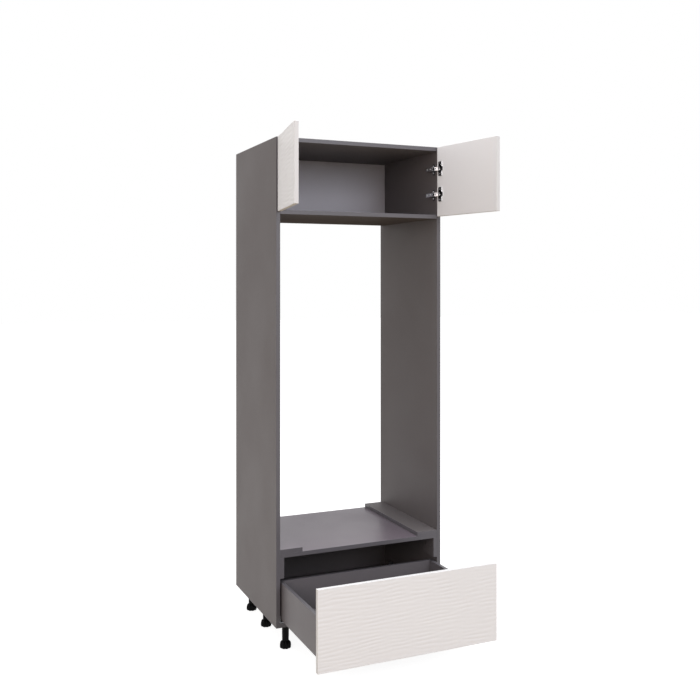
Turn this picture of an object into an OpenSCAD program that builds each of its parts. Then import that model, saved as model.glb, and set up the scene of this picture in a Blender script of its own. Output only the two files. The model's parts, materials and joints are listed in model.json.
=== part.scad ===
// Tall oven housing: a carcass for a built-in oven, with a drawer below and two doors above.
// Origin: on the floor, under the middle of the housing as it stands open.
// +Z is up, +Y points to the rear, +X to the right seen from the front.

/* [Housing] */
// Width over the two side panels
unit_w = 800; // [600:10:1000]
// Depth of the side panels
unit_d = 600; // [590:5:720]
// Height of the carcass without its legs
case_h = 2100; // [1700:10:2600]
// Thickness of the carcass boards and fronts
board_t = 18; // [16:1:22]
// Gap left round each door and round the drawer front
reveal = 1.5; // [1:0.5:3]
// Gap between the closed fronts and the carcass
front_gap = 2; // [1:0.5:3]
// Distance between the waves on the fronts
wave_pitch = 20; // [12:1:40]
// Depth of the waves on the fronts
wave_d = 1; // [0.5:0.1:2]

/* [Shelves and backs] */
// Clear height of the upper cupboard
cupboard_h = 294; // [250:1:400]
// Clear height of the drawer bay with the bottom panel
drawer_bay_h = 298; // [270:1:400]
// Distance from the rear edges to the shelves and to the top and bottom panels
shelf_inset = 24; // [10:1:30]
// Clear width between the two battens on the oven shelf
niche_w = 560; // [540:1:600]
// Height of the strips under the oven shelf
strip_h = 88; // [40:1:100]
// Depth of the strips under the oven shelf
strip_d = 100; // [40:5:200]
// Distance from the rear edges to the face of the back panels
back_inset = 49; // [35:1:60]
// Thickness of the back panels
back_t = 8; // [3:1:10]
// Depth of the grooves that hold the back panels
groove_d = 8; // [4:1:9]

/* [Doors and hinges] */
// Angle at which the doors stand open, the hinge's limit
open_angle = 100; // [85:1:105]
// Height of the hinges from the nearer end of each door
hinge_inset = 100; // [60:5:140]
// Distance from the door's edge to the middle of the hinge cup
cup_s = 22.5; // [21.5:0.5:24.5]
// Radius of the hinge cup's bore
cup_r = 17.5; // [17.5:0.5:20]
// Depth of the hinge cup's bore
cup_d = 13.2; // [13:0.1:14]
// Thickness of the hinge's sheet steel
hinge_sheet = 1; // [0.8:0.1:1.2]
// Distance from the front edge to the screws of the mounting plate
plate_y = 28; // [26:1:37]

/* [Drawer] */
// How far the drawer stands open
drawer_out = 455; // [100:5:480]
// Drop of the drawer front below the carcass
front_drop = 4; // [0:1:10]
// Space between the drawer box and the back panel
box_rear_gap = 53; // [30:1:80]
// Height of the drawer box's sides
box_h = 160; // [100:1:200]
// Thickness of the drawer box's boards
side_t = 16; // [15:1:18]
// Gap between a drawer side and the side panel
drawer_gap = 7; // [6:0.5:12]
// Height of the drawer sides' lower edges above the carcass underside
box_lift = 30; // [28:1:40]
// Thickness of the drawer bottom
bottom_t = 8; // [6:1:12]
// Recess of the drawer bottom above the sides' lower edges
recess_h = 13; // [12:0.5:16]
// Thickness of the runners' sheet steel
runner_sheet = 1.5; // [1:0.1:2]
// Width of the runner rail
rail_w = 20; // [18:1:24]

/* [Legs] */
// Height of the legs, from the floor to the carcass
leg_h = 100; // [90:5:180]
// Radius of the leg tube over its ribs
leg_r = 15; // [13:0.5:18]
// Radius of the foot
foot_r = 25; // [20:1:30]
// Height of the foot up to its neck
foot_h = 38; // [30:1:45]
// Distance from the side of the housing to the legs' axes
leg_inset_x = 53; // [40:1:80]
// Distance from the front edge to the front legs' axes
leg_front_y = 32; // [30:1:80]
// Distance from the rear edge to the rear legs' axes
leg_rear_inset = 84; // [60:1:120]

/* [Hidden] */

// Colours
case_grey = [0.50, 0.49, 0.50];
back_grey = [0.46, 0.45, 0.46];
front_white = [0.90, 0.88, 0.86];
box_grey = [0.45, 0.44, 0.46];
steel = [0.78, 0.79, 0.80];
dark_steel = [0.25, 0.25, 0.26];
black_plastic = [0.04, 0.04, 0.04];
dowel_wood = [0.80, 0.66, 0.45];

// Fineness of round parts, and the overrun and clearances that all cuts and fits share
$fn = 48;
cut = 1;
fit_gap = 0.3;
hole_gap = 0.05;

// Main levels and widths
base_z = leg_h;
top_z = leg_h + case_h;
inner_w = unit_w - 2 * board_t;
shelf_d = unit_d - shelf_inset;
back_y = unit_d - back_inset;
top_panel_z = top_z - board_t;
upper_shelf_z = top_panel_z - cupboard_h - board_t;
cupboard_z = upper_shelf_z + board_t;
oven_shelf_z = base_z + drawer_bay_h;
oven_floor_z = oven_shelf_z + board_t;
bay_z = base_z + board_t;
front_reach = drawer_out + front_gap + board_t;
front_y = (front_reach - unit_d) / 2;
batten_w = (inner_w - niche_w) / 2;

// Board that screws, dowels and plugs leave uncut beyond their ends
board_cover = 6;

// Cam locks, cam bolts and dowels of the fixed panels: underside level, and the face with the cams
PANELS = [[base_z, -1], [oven_shelf_z, -1], [upper_shelf_z, 1], [top_panel_z, 1]];
fitting_inset = 96;
dowel_pitch = 32;
fitting_ys = [fitting_inset, shelf_d - fitting_inset];
dowel_ys = [fitting_inset + dowel_pitch, shelf_d - fitting_inset - dowel_pitch];
cam_r = 7.5;
cam_floor = 0.5;
cam_reach = 34;
bolt_bore_r = 4;
cam_h = board_t / 2 + bolt_bore_r + cam_floor;
bolt_r = 3;
bolt_neck_r = 1.8;
bolt_neck_l = 4;
bolt_head_r = 3.4;
bolt_head_l = 3;
bolt_thread_r = 2.5;
bolt_thread_l = 11;
slot_w = 2;
slot_d = 2.5;
dowel_r = 4;
dowel_in_side = board_t - board_cover;
dowel_in_panel = 23;

// Screws, and the hinges' mounting plates that some of them hold
plate_t = 2;
board_screw_l = 2 * board_t - board_cover;
batten_screw_inset = 60;
board_screw_r = 2;
board_head_r = 4;
case_screw_l = board_t - board_cover + plate_t;
case_screw_r = 1.75;
case_head_r = 3.6;
case_head_h = 2.4;
cross_w = 1;

// Wall brackets
bracket_t = 2;
bracket_leg = 36;
bracket_h = 40;
bracket_drop = 30;
bracket_bore_r = 4;
bracket_screw_pitch = 20;
bracket_z = top_panel_z - bracket_drop - bracket_h;

// Hinges. A place on a door is [along the door from its edge, out of its inner face]. A place on
// the carcass is [inwards from the side panel's inner face, back from its front edge].
edge_swing = [20.5, -7];
short_pin = [9.2, -8];
long_pin = [12.2, -3.2];
short_reach = 17.5;
long_reach = 20.7;
pin_r = 1.2;
eye_r = 2;
link_gap = 0.3;
link_r = 0.7;
long_link_r = 1.6;
short_link_w = 8;
long_link_w = 1.5;
tab_w = 1;
short_bend = [7.6, 0.6];
long_bend = [11, 2];
flange_w = 26;
flange_l = 66;
flange_t = 1.4;
flange_rim = 2;
flange_corner_r = 5;
cup_screw_pitch = 48;
cup_screw_l = board_t - board_cover;
arm_rear_y = 62;
arm_in = 24;
plate_wing_l = 52;
plate_wing_w = 20;
plate_pitch = 32;
plate_rail_in = 10;
plate_rail_w = 10;
plate_front_y = 8;
plate_base_w = 20;
arm_front_y = 0.5;
arm_root = [20, 6];
notch_d = 1.2;
hinge_zs = [cupboard_z - board_t / 2 + reveal + hinge_inset, top_z - reveal - hinge_inset];

// The hinge's linkage. The door's closed and open places are given, and each arm pin lies where
// its link reaches the cup pin in both.
closed_edge = [reveal - board_t, -front_gap];
open_edge = closed_edge + edge_swing;
function turned(p, a) = [p[0] * cos(a) - p[1] * sin(a), p[0] * sin(a) + p[1] * cos(a)];
function opened(p) = open_edge + turned(p - closed_edge, -open_angle);
function middle(a, b) = (a + b) / 2;
function square_to(v) = [-v[1], v[0]] / norm(v);
function arm_pin(p, reach) = middle(p, opened(p)) + reach * square_to(opened(p) - p);
short_arm_pin = arm_pin(closed_edge + short_pin, short_reach);
long_arm_pin = arm_pin(closed_edge + long_pin, long_reach);
short_cup_pin = opened(closed_edge + short_pin);
long_cup_pin = opened(closed_edge + long_pin);
short_link_bend = opened(closed_edge + short_bend);
long_link_bend = opened(closed_edge + long_bend);
short_half = short_link_w / 2;
tab_z = short_half + link_gap;
long_z = tab_z + tab_w + link_gap;
cheek_z = long_z + long_link_w + link_gap;

// Fronts
wave_steps = 8;
door_w = unit_w / 2 - 2 * reveal;
door_z = cupboard_z - board_t / 2 + reveal;
door_h = top_z - reveal - door_z;
cup_wall_r = cup_r - hole_gap;

// Drawer and runners, in closed places
box_y = -front_gap;
box_l = back_y - box_rear_gap - box_y;
box_z = base_z + box_lift;
box_floor_z = box_z + recess_h;
box_inner_in = drawer_gap + side_t;
box_inner_w = inner_w - 2 * box_inner_in;
front_screw_shares = [0.3, 0.7];
box_screw_shares = [0.4, 0.8];
bottom_groove = 6;
runner_y = 3;
runner_lift = 2;
runner_z = bay_z + runner_lift;
runner_flange_h = 32;
flange_screw_share = 0.75;
front_screw_l = side_t + board_t - board_cover;
rail_clear = 1;
rail_u = box_inner_in + rail_clear;
roller_r = 1.8;
roller_count = 12;
cage_l = 200;
cage_t = 1;
web_w = 2;
lip_h = 9;
rail_play = 1;
runner_l = box_l;
drawer_rail_l = runner_l - runner_y - front_gap;
runner_screw_shares = [0.07, 0.45, 0.9];
runner_screw_z = runner_z + runner_flange_h * flange_screw_share;
middle_out = drawer_out / 2;
lower_cage_out = drawer_out / 4;
upper_cage_out = middle_out + lower_cage_out;
clip_l = 40;
clip_w = 22;
clip_h = 11;
clip_base_t = 3;
clip_lever_w = 8;
clip_screw_l = 10;
clip_u = rail_u + rail_w + fit_gap;

// Legs
leg_xs = [leg_inset_x - unit_w / 2, unit_w / 2 - leg_inset_x];
leg_mid_share = 0.545;
leg_rear_y = unit_d - leg_rear_inset;
leg_ys = [leg_front_y, leg_front_y + leg_mid_share * (leg_rear_y - leg_front_y), leg_rear_y];
leg_ribs = 20;
rib_h = 0.8;
socket_h = 6;
neck_h = 13;
neck_r = 12;
socket_rim = 3;
spigot_r = 9;
spigot_l = 4;
plug_r = 10;
plug_l = board_t - board_cover;
stem_r = 8;
stem_spare = 9;
stem_l = leg_h - socket_h - foot_h - neck_h - stem_spare;
stem_gap = 0.1;
foot_shoulder_r = 7;
foot_heel_r = 5;
foot_lobes = 8;
lobe_cut_r = 4;
lobe_cut_share = 0.35;

// Places the housing's own front plane, and mirrors what sits on the left side to the right
module in_place() {
    translate([0, front_y, 0]) children();
}

module at_side(side) {
    in_place()
        mirror([side > 0 ? 1 : 0, 0, 0])
            translate([-inner_w / 2, 0, 0]) children();
}

module on_door(side) {
    at_side(side)
        translate([open_edge[0], open_edge[1], door_z])
            rotate([0, 0, -open_angle]) children();
}

module in_drawer(out = drawer_out) {
    in_place() translate([0, -out, 0]) children();
}

module runner_place(side, out) {
    at_side(side) translate([0, -out, 0]) children();
}

// Round parts that lie along X or Y
module rod_x(r, l) {
    rotate([0, 90, 0]) cylinder(r = r, h = l);
}

module rod_y(r, l) {
    rotate([-90, 0, 0]) cylinder(r = r, h = l);
}

// A straight strap between two pins, seen along the pins
module strap(a, b, r) {
    v = b - a;
    translate(a) circle(r);
    translate(b) circle(r);
    translate(a)
        rotate(atan2(v[1], v[0]))
            translate([0, -r]) square([norm(v), 2 * r]);
}

// Plates of an outline, in a pair at both sides of a middle height
module pair_of_plates(z, gap, t) {
    for (low = [z + gap, z - gap - t])
        translate([0, 0, low]) linear_extrude(t) children();
}

// Screws, drawn with the head on the level z = 0 and the shank down
module pan_screw(l) {
    difference() {
        cylinder(r = case_head_r, h = case_head_h);
        translate([0, 0, case_head_h - slot_d / 2])
            for (turn = [0, 90])
                rotate(turn)
                    translate([-case_head_r / 2, -cross_w / 2, 0])
                        cube([case_head_r, cross_w, slot_d]);
    }
    translate([0, 0, -l]) cylinder(r = case_screw_r, h = l);
}

module flush_screw(l) {
    translate([0, 0, -board_head_r + board_screw_r])
        cylinder(r1 = board_screw_r, r2 = board_head_r, h = board_head_r - board_screw_r);
    translate([0, 0, -l]) cylinder(r = board_screw_r, h = l - board_head_r + board_screw_r);
}

module pan_screw_hole(l) {
    translate([0, 0, -l - fit_gap]) cylinder(r = case_screw_r + hole_gap, h = l + cut);
}

module flush_screw_hole(l) {
    sink_r = board_head_r + hole_gap;
    translate([0, 0, -board_head_r + board_screw_r])
        cylinder(r1 = board_screw_r + hole_gap, r2 = sink_r, h = board_head_r - board_screw_r);
    cylinder(r = sink_r, h = cut);
    translate([0, 0, -l - fit_gap])
        cylinder(r = board_screw_r + hole_gap, h = l);
}

// Places of the screws. Each turns its child's head level to the face that the screw sits on.
module at_strip_screws() {
    for (y = [1, 3] * strip_d / 4)
        translate([board_t, y, oven_shelf_z - strip_h / 2]) rotate([0, 90, 0]) children();
}

module at_batten_screws() {
    for (y = [batten_screw_inset, shelf_d / 2, shelf_d - batten_screw_inset])
        translate([batten_w / 2, y, oven_shelf_z]) rotate([180, 0, 0]) children();
}

module at_runner_screws() {
    for (share = runner_screw_shares)
        translate([runner_sheet, runner_y + share * runner_l, runner_screw_z]) rotate([0, 90, 0]) children();
}

module at_bracket_screws() {
    for (dz = [-bracket_screw_pitch / 2, bracket_screw_pitch / 2])
        translate([bracket_t, unit_d - bracket_leg / 2, bracket_z + bracket_h / 2 + dz])
            rotate([0, 90, 0]) children();
}

module at_plate_screws() {
    for (z = hinge_zs, dz = [-plate_pitch / 2, plate_pitch / 2])
        translate([plate_t, plate_y, z + dz]) rotate([0, 90, 0]) children();
}

module at_cup_screws() {
    for (z = hinge_zs, dz = [-cup_screw_pitch / 2, cup_screw_pitch / 2])
        translate([cup_s, flange_t, z + dz - door_z]) rotate([-90, 0, 0]) children();
}

// Side panels, bored for the fittings of the four fixed panels and grooved for the backs
module side_panel(side) {
    at_side(side)
        difference() {
            translate([-board_t, 0, base_z]) cube([board_t, unit_d, case_h]);
            back_groove(cupboard_z, top_panel_z);
            back_groove(bay_z, oven_shelf_z);
            for (panel = PANELS) {
                for (y = fitting_ys)
                    translate([-bolt_thread_l, y, panel[0] + board_t / 2])
                        rod_x(bolt_thread_r + hole_gap, bolt_thread_l + cut);
                for (y = dowel_ys)
                    translate([-dowel_in_side - fit_gap, y, panel[0] + board_t / 2])
                        rod_x(dowel_r + hole_gap, dowel_in_side + fit_gap + cut);
            }
            at_strip_screws() flush_screw_hole(board_screw_l);
            at_runner_screws() pan_screw_hole(case_screw_l);
            at_bracket_screws() pan_screw_hole(case_screw_l);
            at_plate_screws() pan_screw_hole(case_screw_l);
        }
}

module back_groove(low, high) {
    translate([-groove_d, back_y - fit_gap / 2, low - groove_d])
        cube([groove_d + cut, back_t + fit_gap, high - low + 2 * groove_d]);
}

module left_side() {
    color(case_grey) side_panel(-1);
}

module right_side() {
    color(case_grey) side_panel(1);
}

// Panels fixed between the sides, with cam pockets in the face that shows least
module fixed_panel(index) {
    level = PANELS[index][0];
    face = PANELS[index][1];
    mid = level + board_t / 2;
    pocket_z = face > 0 ? level + board_t - cam_h : level - cut;
    difference() {
        in_place()
            translate([-inner_w / 2, 0, level]) cube([inner_w, shelf_d, board_t]);
        for (side = [-1, 1])
            at_side(side) {
                for (y = fitting_ys) {
                    translate([-cut, y, mid]) rod_x(bolt_bore_r, cam_reach + cut);
                    translate([cam_reach, y, pocket_z]) cylinder(r = cam_r, h = cam_h + cut);
                }
                for (y = dowel_ys)
                    translate([-cut, y, mid])
                        rod_x(dowel_r + hole_gap, dowel_in_panel + fit_gap + cut);
            }
        children();
    }
}

module panel_groove(low) {
    in_place()
        translate([-inner_w / 2 - cut, back_y - fit_gap / 2, low])
            cube([inner_w + 2 * cut, back_t + fit_gap, groove_d + cut]);
}

module top_panel() {
    color(case_grey) fixed_panel(3) panel_groove(top_panel_z - cut);
}

module upper_shelf() {
    color(case_grey) fixed_panel(2) panel_groove(cupboard_z - groove_d);
}

module oven_shelf() {
    color(case_grey)
        fixed_panel(1) {
            panel_groove(oven_shelf_z - cut);
            for (side = [-1, 1])
                at_side(side) at_batten_screws() flush_screw_hole(board_screw_l);
        }
}

module bottom_panel() {
    color(case_grey)
        fixed_panel(0) {
            panel_groove(bay_z - groove_d);
            at_legs()
                translate([0, 0, leg_h - cut])
                    cylinder(r = plug_r + stem_gap, h = plug_l + fit_gap + cut);
        }
}

// Battens that guide the oven, and strips that close the gap beside the drawer
module batten(side) {
    at_side(side)
        difference() {
            translate([0, 0, oven_floor_z]) cube([batten_w, shelf_d, board_t]);
            at_batten_screws() flush_screw_hole(board_screw_l);
        }
}

module left_batten() {
    color(case_grey) batten(-1);
}

module right_batten() {
    color(case_grey) batten(1);
}

module strip(side) {
    at_side(side)
        difference() {
            translate([0, 0, oven_shelf_z - strip_h]) cube([board_t, strip_d, strip_h]);
            at_strip_screws() flush_screw_hole(board_screw_l);
        }
}

module left_strip() {
    color(case_grey) strip(-1);
}

module right_strip() {
    color(case_grey) strip(1);
}

// Backs, let into the grooves
module back_panel(low, high) {
    w = inner_w + 2 * (groove_d - fit_gap);
    in_place()
        translate([-w / 2, back_y, low - groove_d])
            cube([w, back_t, high - low + 2 * groove_d - fit_gap]);
}

module upper_back() {
    color(back_grey) back_panel(cupboard_z, top_panel_z);
}

module lower_back() {
    color(back_grey) back_panel(bay_z, oven_shelf_z);
}

// Cam locks, cam bolts and dowels
module at_fittings() {
    for (side = [-1, 1], panel = PANELS, y = fitting_ys)
        at_side(side)
            translate([0, y, panel[0] + board_t / 2])
                mirror([0, 0, panel[1] > 0 ? 0 : 1]) children();
}

module cam_locks() {
    lid_z = board_t / 2;
    color(steel)
        at_fittings()
            difference() {
                translate([cam_reach, 0, lid_z - cam_h])
                    cylinder(r = cam_r - hole_gap, h = cam_h);
                rod_x(bolt_bore_r, cam_reach + bolt_head_l);
                for (turn = [0, 90])
                    translate([cam_reach, 0, lid_z - slot_d])
                        rotate(turn)
                            translate([-cam_r / 2, -slot_w / 2, 0])
                                cube([cam_r, slot_w, slot_d + cut]);
            }
}

module cam_bolts() {
    neck_x = cam_reach - bolt_neck_l - bolt_head_l;
    color(steel)
        at_fittings() {
            translate([-bolt_thread_l, 0, 0]) rod_x(bolt_thread_r, bolt_thread_l);
            rod_x(bolt_r, neck_x);
            translate([neck_x, 0, 0]) rod_x(bolt_neck_r, bolt_neck_l);
            translate([neck_x + bolt_neck_l, 0, 0]) rod_x(bolt_head_r, bolt_head_l);
        }
}

module dowels() {
    color(dowel_wood)
        for (side = [-1, 1], panel = PANELS, y = dowel_ys)
            at_side(side)
                translate([-dowel_in_side, y, panel[0] + board_t / 2])
                    rod_x(dowel_r, dowel_in_side + dowel_in_panel);
}

module board_screws() {
    color(steel)
        for (side = [-1, 1])
            at_side(side) {
                at_strip_screws() flush_screw(board_screw_l);
                at_batten_screws() flush_screw(board_screw_l);
            }
}

module case_screws() {
    color(steel)
        for (side = [-1, 1])
            at_side(side) {
                at_runner_screws() pan_screw(case_screw_l);
                at_bracket_screws() pan_screw(case_screw_l);
            }
}

// Angle brackets behind the upper back, flush with the rear edges, for screws into the wall
module wall_brackets() {
    color(steel)
        for (side = [-1, 1])
            at_side(side)
                difference() {
                    union() {
                        translate([0, unit_d - bracket_leg, bracket_z])
                            cube([bracket_t, bracket_leg, bracket_h]);
                        translate([0, unit_d - bracket_t, bracket_z])
                            cube([bracket_leg, bracket_t, bracket_h]);
                    }
                    at_bracket_screws() pan_screw_hole(case_screw_l);
                    translate([bracket_leg / 2, unit_d - bracket_t - cut, bracket_z + bracket_h / 2])
                        rod_y(bracket_bore_r, bracket_t + 2 * cut);
                }
}

// A front with its inner face at y = 0, and its outer face in level waves that run across it
module front(w, h) {
    waves = round(h / wave_pitch);
    steps = waves * wave_steps;
    crests = [for (i = [0 : steps])
        [(i / steps) * h, -board_t + wave_d * (1 - cos(i * 360 / wave_steps)) / 2]];
    translate([w, 0, 0])
        rotate([0, -90, 0])
            linear_extrude(w)
                polygon([[0, 0], each crests, [h, 0]]);
}

// A door, drawn with its hinge edge at x = 0 and its inner face at y = 0
module door(side) {
    on_door(side)
        difference() {
            front(door_w, door_h);
            for (z = hinge_zs)
                translate([cup_s, -cup_d, z - door_z]) rod_y(cup_r, cup_d + cut);
            at_cup_screws() pan_screw_hole(cup_screw_l);
        }
}

module left_door() {
    color(front_white) door(-1);
}

module right_door() {
    color(front_white) door(1);
}

// Hinge cups with their flanges, and the tabs that hold the links' pins
module cup_tabs(pin, gap) {
    pair_of_plates(0, gap, tab_w)
        difference() {
            strap(pin, [pin[0] + tab_w, -cup_d + hinge_sheet], eye_r);
            translate(pin) circle(pin_r + hole_gap);
        }
}

module hinge_cup() {
    difference() {
        union() {
            translate([cup_s, 0, 0])
                rotate([90, 0, 0])
                    difference() {
                        cylinder(r = cup_wall_r, h = cup_d - hole_gap);
                        translate([0, 0, -cut])
                            cylinder(r = cup_wall_r - hinge_sheet, h = cup_d - hinge_sheet + cut);
                    }
            translate([cup_s, 0, 0]) rod_y(cup_r + flange_rim, flange_t);
            for (dx = [-1, 1] * (flange_w / 2 - flange_corner_r))
                for (dz = [-1, 1] * (flange_l / 2 - flange_corner_r))
                    translate([cup_s + dx, 0, dz]) rod_y(flange_corner_r, flange_t);
            translate([cup_s - flange_w / 2, 0, flange_corner_r - flange_l / 2])
                cube([flange_w, flange_t, flange_l - 2 * flange_corner_r]);
            translate([cup_s - flange_w / 2 + flange_corner_r, 0, -flange_l / 2])
                cube([flange_w - 2 * flange_corner_r, flange_t, flange_l]);
        }
        translate([cup_s, -hinge_sheet, 0])
            rod_y(cup_wall_r - hinge_sheet, flange_t + hinge_sheet + cut);
        translate([cup_s - cup_r - flange_rim - cut, -notch_d, -tab_z])
            cube([cup_r / 2, notch_d + flange_t + cut, 2 * tab_z]);
        for (dz = [-cup_screw_pitch / 2, cup_screw_pitch / 2])
            translate([cup_s, -cut, dz])
                rod_y(case_screw_r + hole_gap, flange_t + 2 * cut);
    }
    intersection() {
        union() {
            cup_tabs(short_pin, tab_z);
            cup_tabs(long_pin, cheek_z);
        }
        translate([cup_s, -cup_d + hole_gap, 0]) rod_y(cup_wall_r - hinge_sheet / 2, cup_d);
    }
}

module hinge_cups(side) {
    on_door(side)
        for (z = hinge_zs)
            translate([0, 0, z - door_z]) hinge_cup();
}

module left_hinge_cups() {
    color(dark_steel) hinge_cups(-1);
}

module right_hinge_cups() {
    color(dark_steel) hinge_cups(1);
}

module cup_screws(side) {
    on_door(side) at_cup_screws() pan_screw(cup_screw_l);
}

module left_cup_screws() {
    color(steel) cup_screws(-1);
}

module right_cup_screws() {
    color(steel) cup_screws(1);
}

// Pins in the cups. The long links' far pins end in the cup's cheeks, clear of the links.
module hinge_pins(side) {
    on_door(side)
        for (z = hinge_zs)
            translate([0, 0, z - door_z]) {
                translate([short_pin[0], short_pin[1], -tab_z - tab_w])
                    cylinder(r = pin_r, h = 2 * (tab_z + tab_w));
                pair_of_plates(0, cheek_z, tab_w) translate(long_pin) circle(pin_r);
            }
}

module left_hinge_pins() {
    color(steel) hinge_pins(-1);
}

module right_hinge_pins() {
    color(steel) hinge_pins(1);
}

// Links: a flat pair of long ones, and a bent short one between them that carries the door
module long_link_outline() {
    difference() {
        union() {
            translate(long_arm_pin) circle(eye_r);
            translate(long_cup_pin) circle(eye_r);
            strap(long_arm_pin, long_link_bend, long_link_r);
            strap(long_link_bend, long_cup_pin, long_link_r);
        }
        translate(long_arm_pin) circle(pin_r + hole_gap);
        translate(long_cup_pin) circle(pin_r + hole_gap);
    }
}

module short_link_outline() {
    difference() {
        union() {
            translate(short_arm_pin) circle(eye_r);
            translate(short_cup_pin) circle(eye_r);
            strap(short_arm_pin, short_link_bend, link_r);
            strap(short_link_bend, short_cup_pin, link_r);
        }
        translate(short_arm_pin) circle(pin_r + hole_gap);
        translate(short_cup_pin) circle(pin_r + hole_gap);
    }
}

module long_links(side) {
    at_side(side)
        for (z = hinge_zs)
            pair_of_plates(z, long_z, long_link_w) long_link_outline();
}

module short_links(side) {
    at_side(side)
        for (z = hinge_zs)
            translate([0, 0, z - short_half])
                linear_extrude(short_link_w) short_link_outline();
}

module left_long_links() {
    color(steel) long_links(-1);
}

module right_long_links() {
    color(steel) long_links(1);
}

module left_short_links() {
    color(steel) short_links(-1);
}

module right_short_links() {
    color(steel) short_links(1);
}

// Arms: a channel over the mounting plate, whose two inner tabs reach out to hold the pins
module hinge_arm() {
    pair_of_plates(0, cheek_z, tab_w)
        translate([plate_t, arm_front_y]) square([arm_in - plate_t, arm_rear_y - arm_front_y]);
    translate([arm_in - hinge_sheet, arm_front_y, -cheek_z - tab_w])
        cube([hinge_sheet, arm_rear_y - arm_front_y, 2 * (cheek_z + tab_w)]);
    pair_of_plates(0, tab_z, tab_w)
        difference() {
            union() {
                strap(arm_root, long_arm_pin, eye_r);
                strap(arm_root, short_arm_pin, eye_r);
                strap(long_arm_pin, short_arm_pin, eye_r);
                strap(arm_root, [arm_in - eye_r, plate_y - plate_wing_w / 2 - arm_root[1]], eye_r);
                polygon([arm_root, long_arm_pin, short_arm_pin]);
            }
            translate(long_arm_pin) circle(pin_r + hole_gap);
            translate(short_arm_pin) circle(pin_r + hole_gap);
        }
}

module hinge_arms() {
    color(steel)
        for (side = [-1, 1], z = hinge_zs)
            at_side(side) translate([0, 0, z]) hinge_arm();
}

module hinge_arm_pins() {
    long_half = long_z + long_link_w;
    color(steel)
        for (side = [-1, 1], z = hinge_zs)
            at_side(side)
                translate([0, 0, z]) {
                    translate([long_arm_pin[0], long_arm_pin[1], -long_half])
                        cylinder(r = pin_r, h = 2 * long_half);
                    translate([short_arm_pin[0], short_arm_pin[1], -tab_z - tab_w])
                        cylinder(r = pin_r, h = 2 * (tab_z + tab_w));
                }
}

module mounting_plate() {
    difference() {
        union() {
            translate([0, plate_front_y, -plate_base_w / 2])
                cube([plate_t, arm_rear_y - plate_front_y, plate_base_w]);
            translate([0, plate_front_y, -plate_rail_w / 2])
                cube([plate_rail_in, arm_rear_y - plate_front_y, plate_rail_w]);
            translate([0, plate_y - plate_wing_w / 2, (plate_wing_w - plate_wing_l) / 2])
                cube([plate_t, plate_wing_w, plate_wing_l - plate_wing_w]);
            for (dz = [-1, 1] * (plate_wing_l - plate_wing_w) / 2)
                translate([0, plate_y, dz]) rod_x(plate_wing_w / 2, plate_t);
        }
        for (dz = [-plate_pitch / 2, plate_pitch / 2])
            translate([-cut, plate_y, dz]) rod_x(case_screw_r + hole_gap, plate_t + 2 * cut);
    }
}

module mounting_plates() {
    color(dark_steel)
        for (side = [-1, 1], z = hinge_zs)
            at_side(side) translate([0, 0, z]) mounting_plate();
}

module plate_screws() {
    color(steel)
        for (side = [-1, 1])
            at_side(side) at_plate_screws() pan_screw(case_screw_l);
}

// Drawer
module drawer_front() {
    w = unit_w - 2 * reveal;
    low = base_z - front_drop;
    color(front_white)
        in_drawer()
            difference() {
                translate([-w / 2, -front_gap, low]) front(w, oven_floor_z - low);
                at_front_screws() pan_screw_hole(front_screw_l - side_t);
            }
}

module at_front_screws() {
    for (x = [-1, 1] * box_inner_w / 4, share = front_screw_shares)
        translate([x, box_y, box_z + share * box_h]) rotate([-90, 0, 0]) children();
}

module drawer_side(side) {
    runner_place(side, drawer_out)
        difference() {
            translate([drawer_gap, box_y, box_z]) cube([side_t, box_l, box_h]);
            translate([box_inner_in - bottom_groove, box_y - cut, box_floor_z])
                cube([bottom_groove + cut, box_l + 2 * cut, bottom_t + fit_gap]);
            at_box_screws() flush_screw_hole(board_screw_l);
        }
}

module at_box_screws() {
    for (y = [box_y + side_t / 2, box_y + box_l - side_t / 2], share = box_screw_shares)
        translate([drawer_gap, y, box_z + share * box_h]) rotate([0, -90, 0]) children();
}

module drawer_left_side() {
    color(box_grey) drawer_side(-1);
}

module drawer_right_side() {
    color(box_grey) drawer_side(1);
}

module box_board(y) {
    low = box_floor_z + bottom_t + fit_gap;
    difference() {
        in_drawer()
            translate([-box_inner_w / 2, y, low]) cube([box_inner_w, side_t, box_z + box_h - low]);
        for (side = [-1, 1])
            runner_place(side, drawer_out) at_box_screws() flush_screw_hole(board_screw_l);
    }
}

module drawer_box_front() {
    color(box_grey)
        difference() {
            box_board(box_y);
            in_drawer()
                at_front_screws()
                    translate([0, 0, side_t]) pan_screw_hole(front_screw_l);
        }
}

module drawer_back() {
    color(box_grey) box_board(box_y + box_l - side_t);
}

module drawer_bottom() {
    w = box_inner_w + 2 * (bottom_groove - fit_gap);
    color(box_grey)
        difference() {
            in_drawer()
                translate([-w / 2, box_y, box_floor_z]) cube([w, box_l, bottom_t]);
            for (side = [-1, 1])
                runner_place(side, drawer_out) at_clip_screws() pan_screw_hole(clip_screw_l);
        }
}

module drawer_box_screws() {
    color(steel)
        for (side = [-1, 1])
            runner_place(side, drawer_out) at_box_screws() flush_screw(board_screw_l);
}

module drawer_front_screws() {
    color(steel)
        in_drawer() at_front_screws() translate([0, 0, side_t]) pan_screw(front_screw_l);
}

// Clips under the drawer bottom that lock the box on its rails
module at_clip_screws() {
    for (dy = [1, 3] * clip_l / 4)
        translate([clip_u + (clip_lever_w + clip_w) / 2, box_y + side_t + dy, box_floor_z - clip_base_t])
            rotate([180, 0, 0]) children();
}

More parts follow.
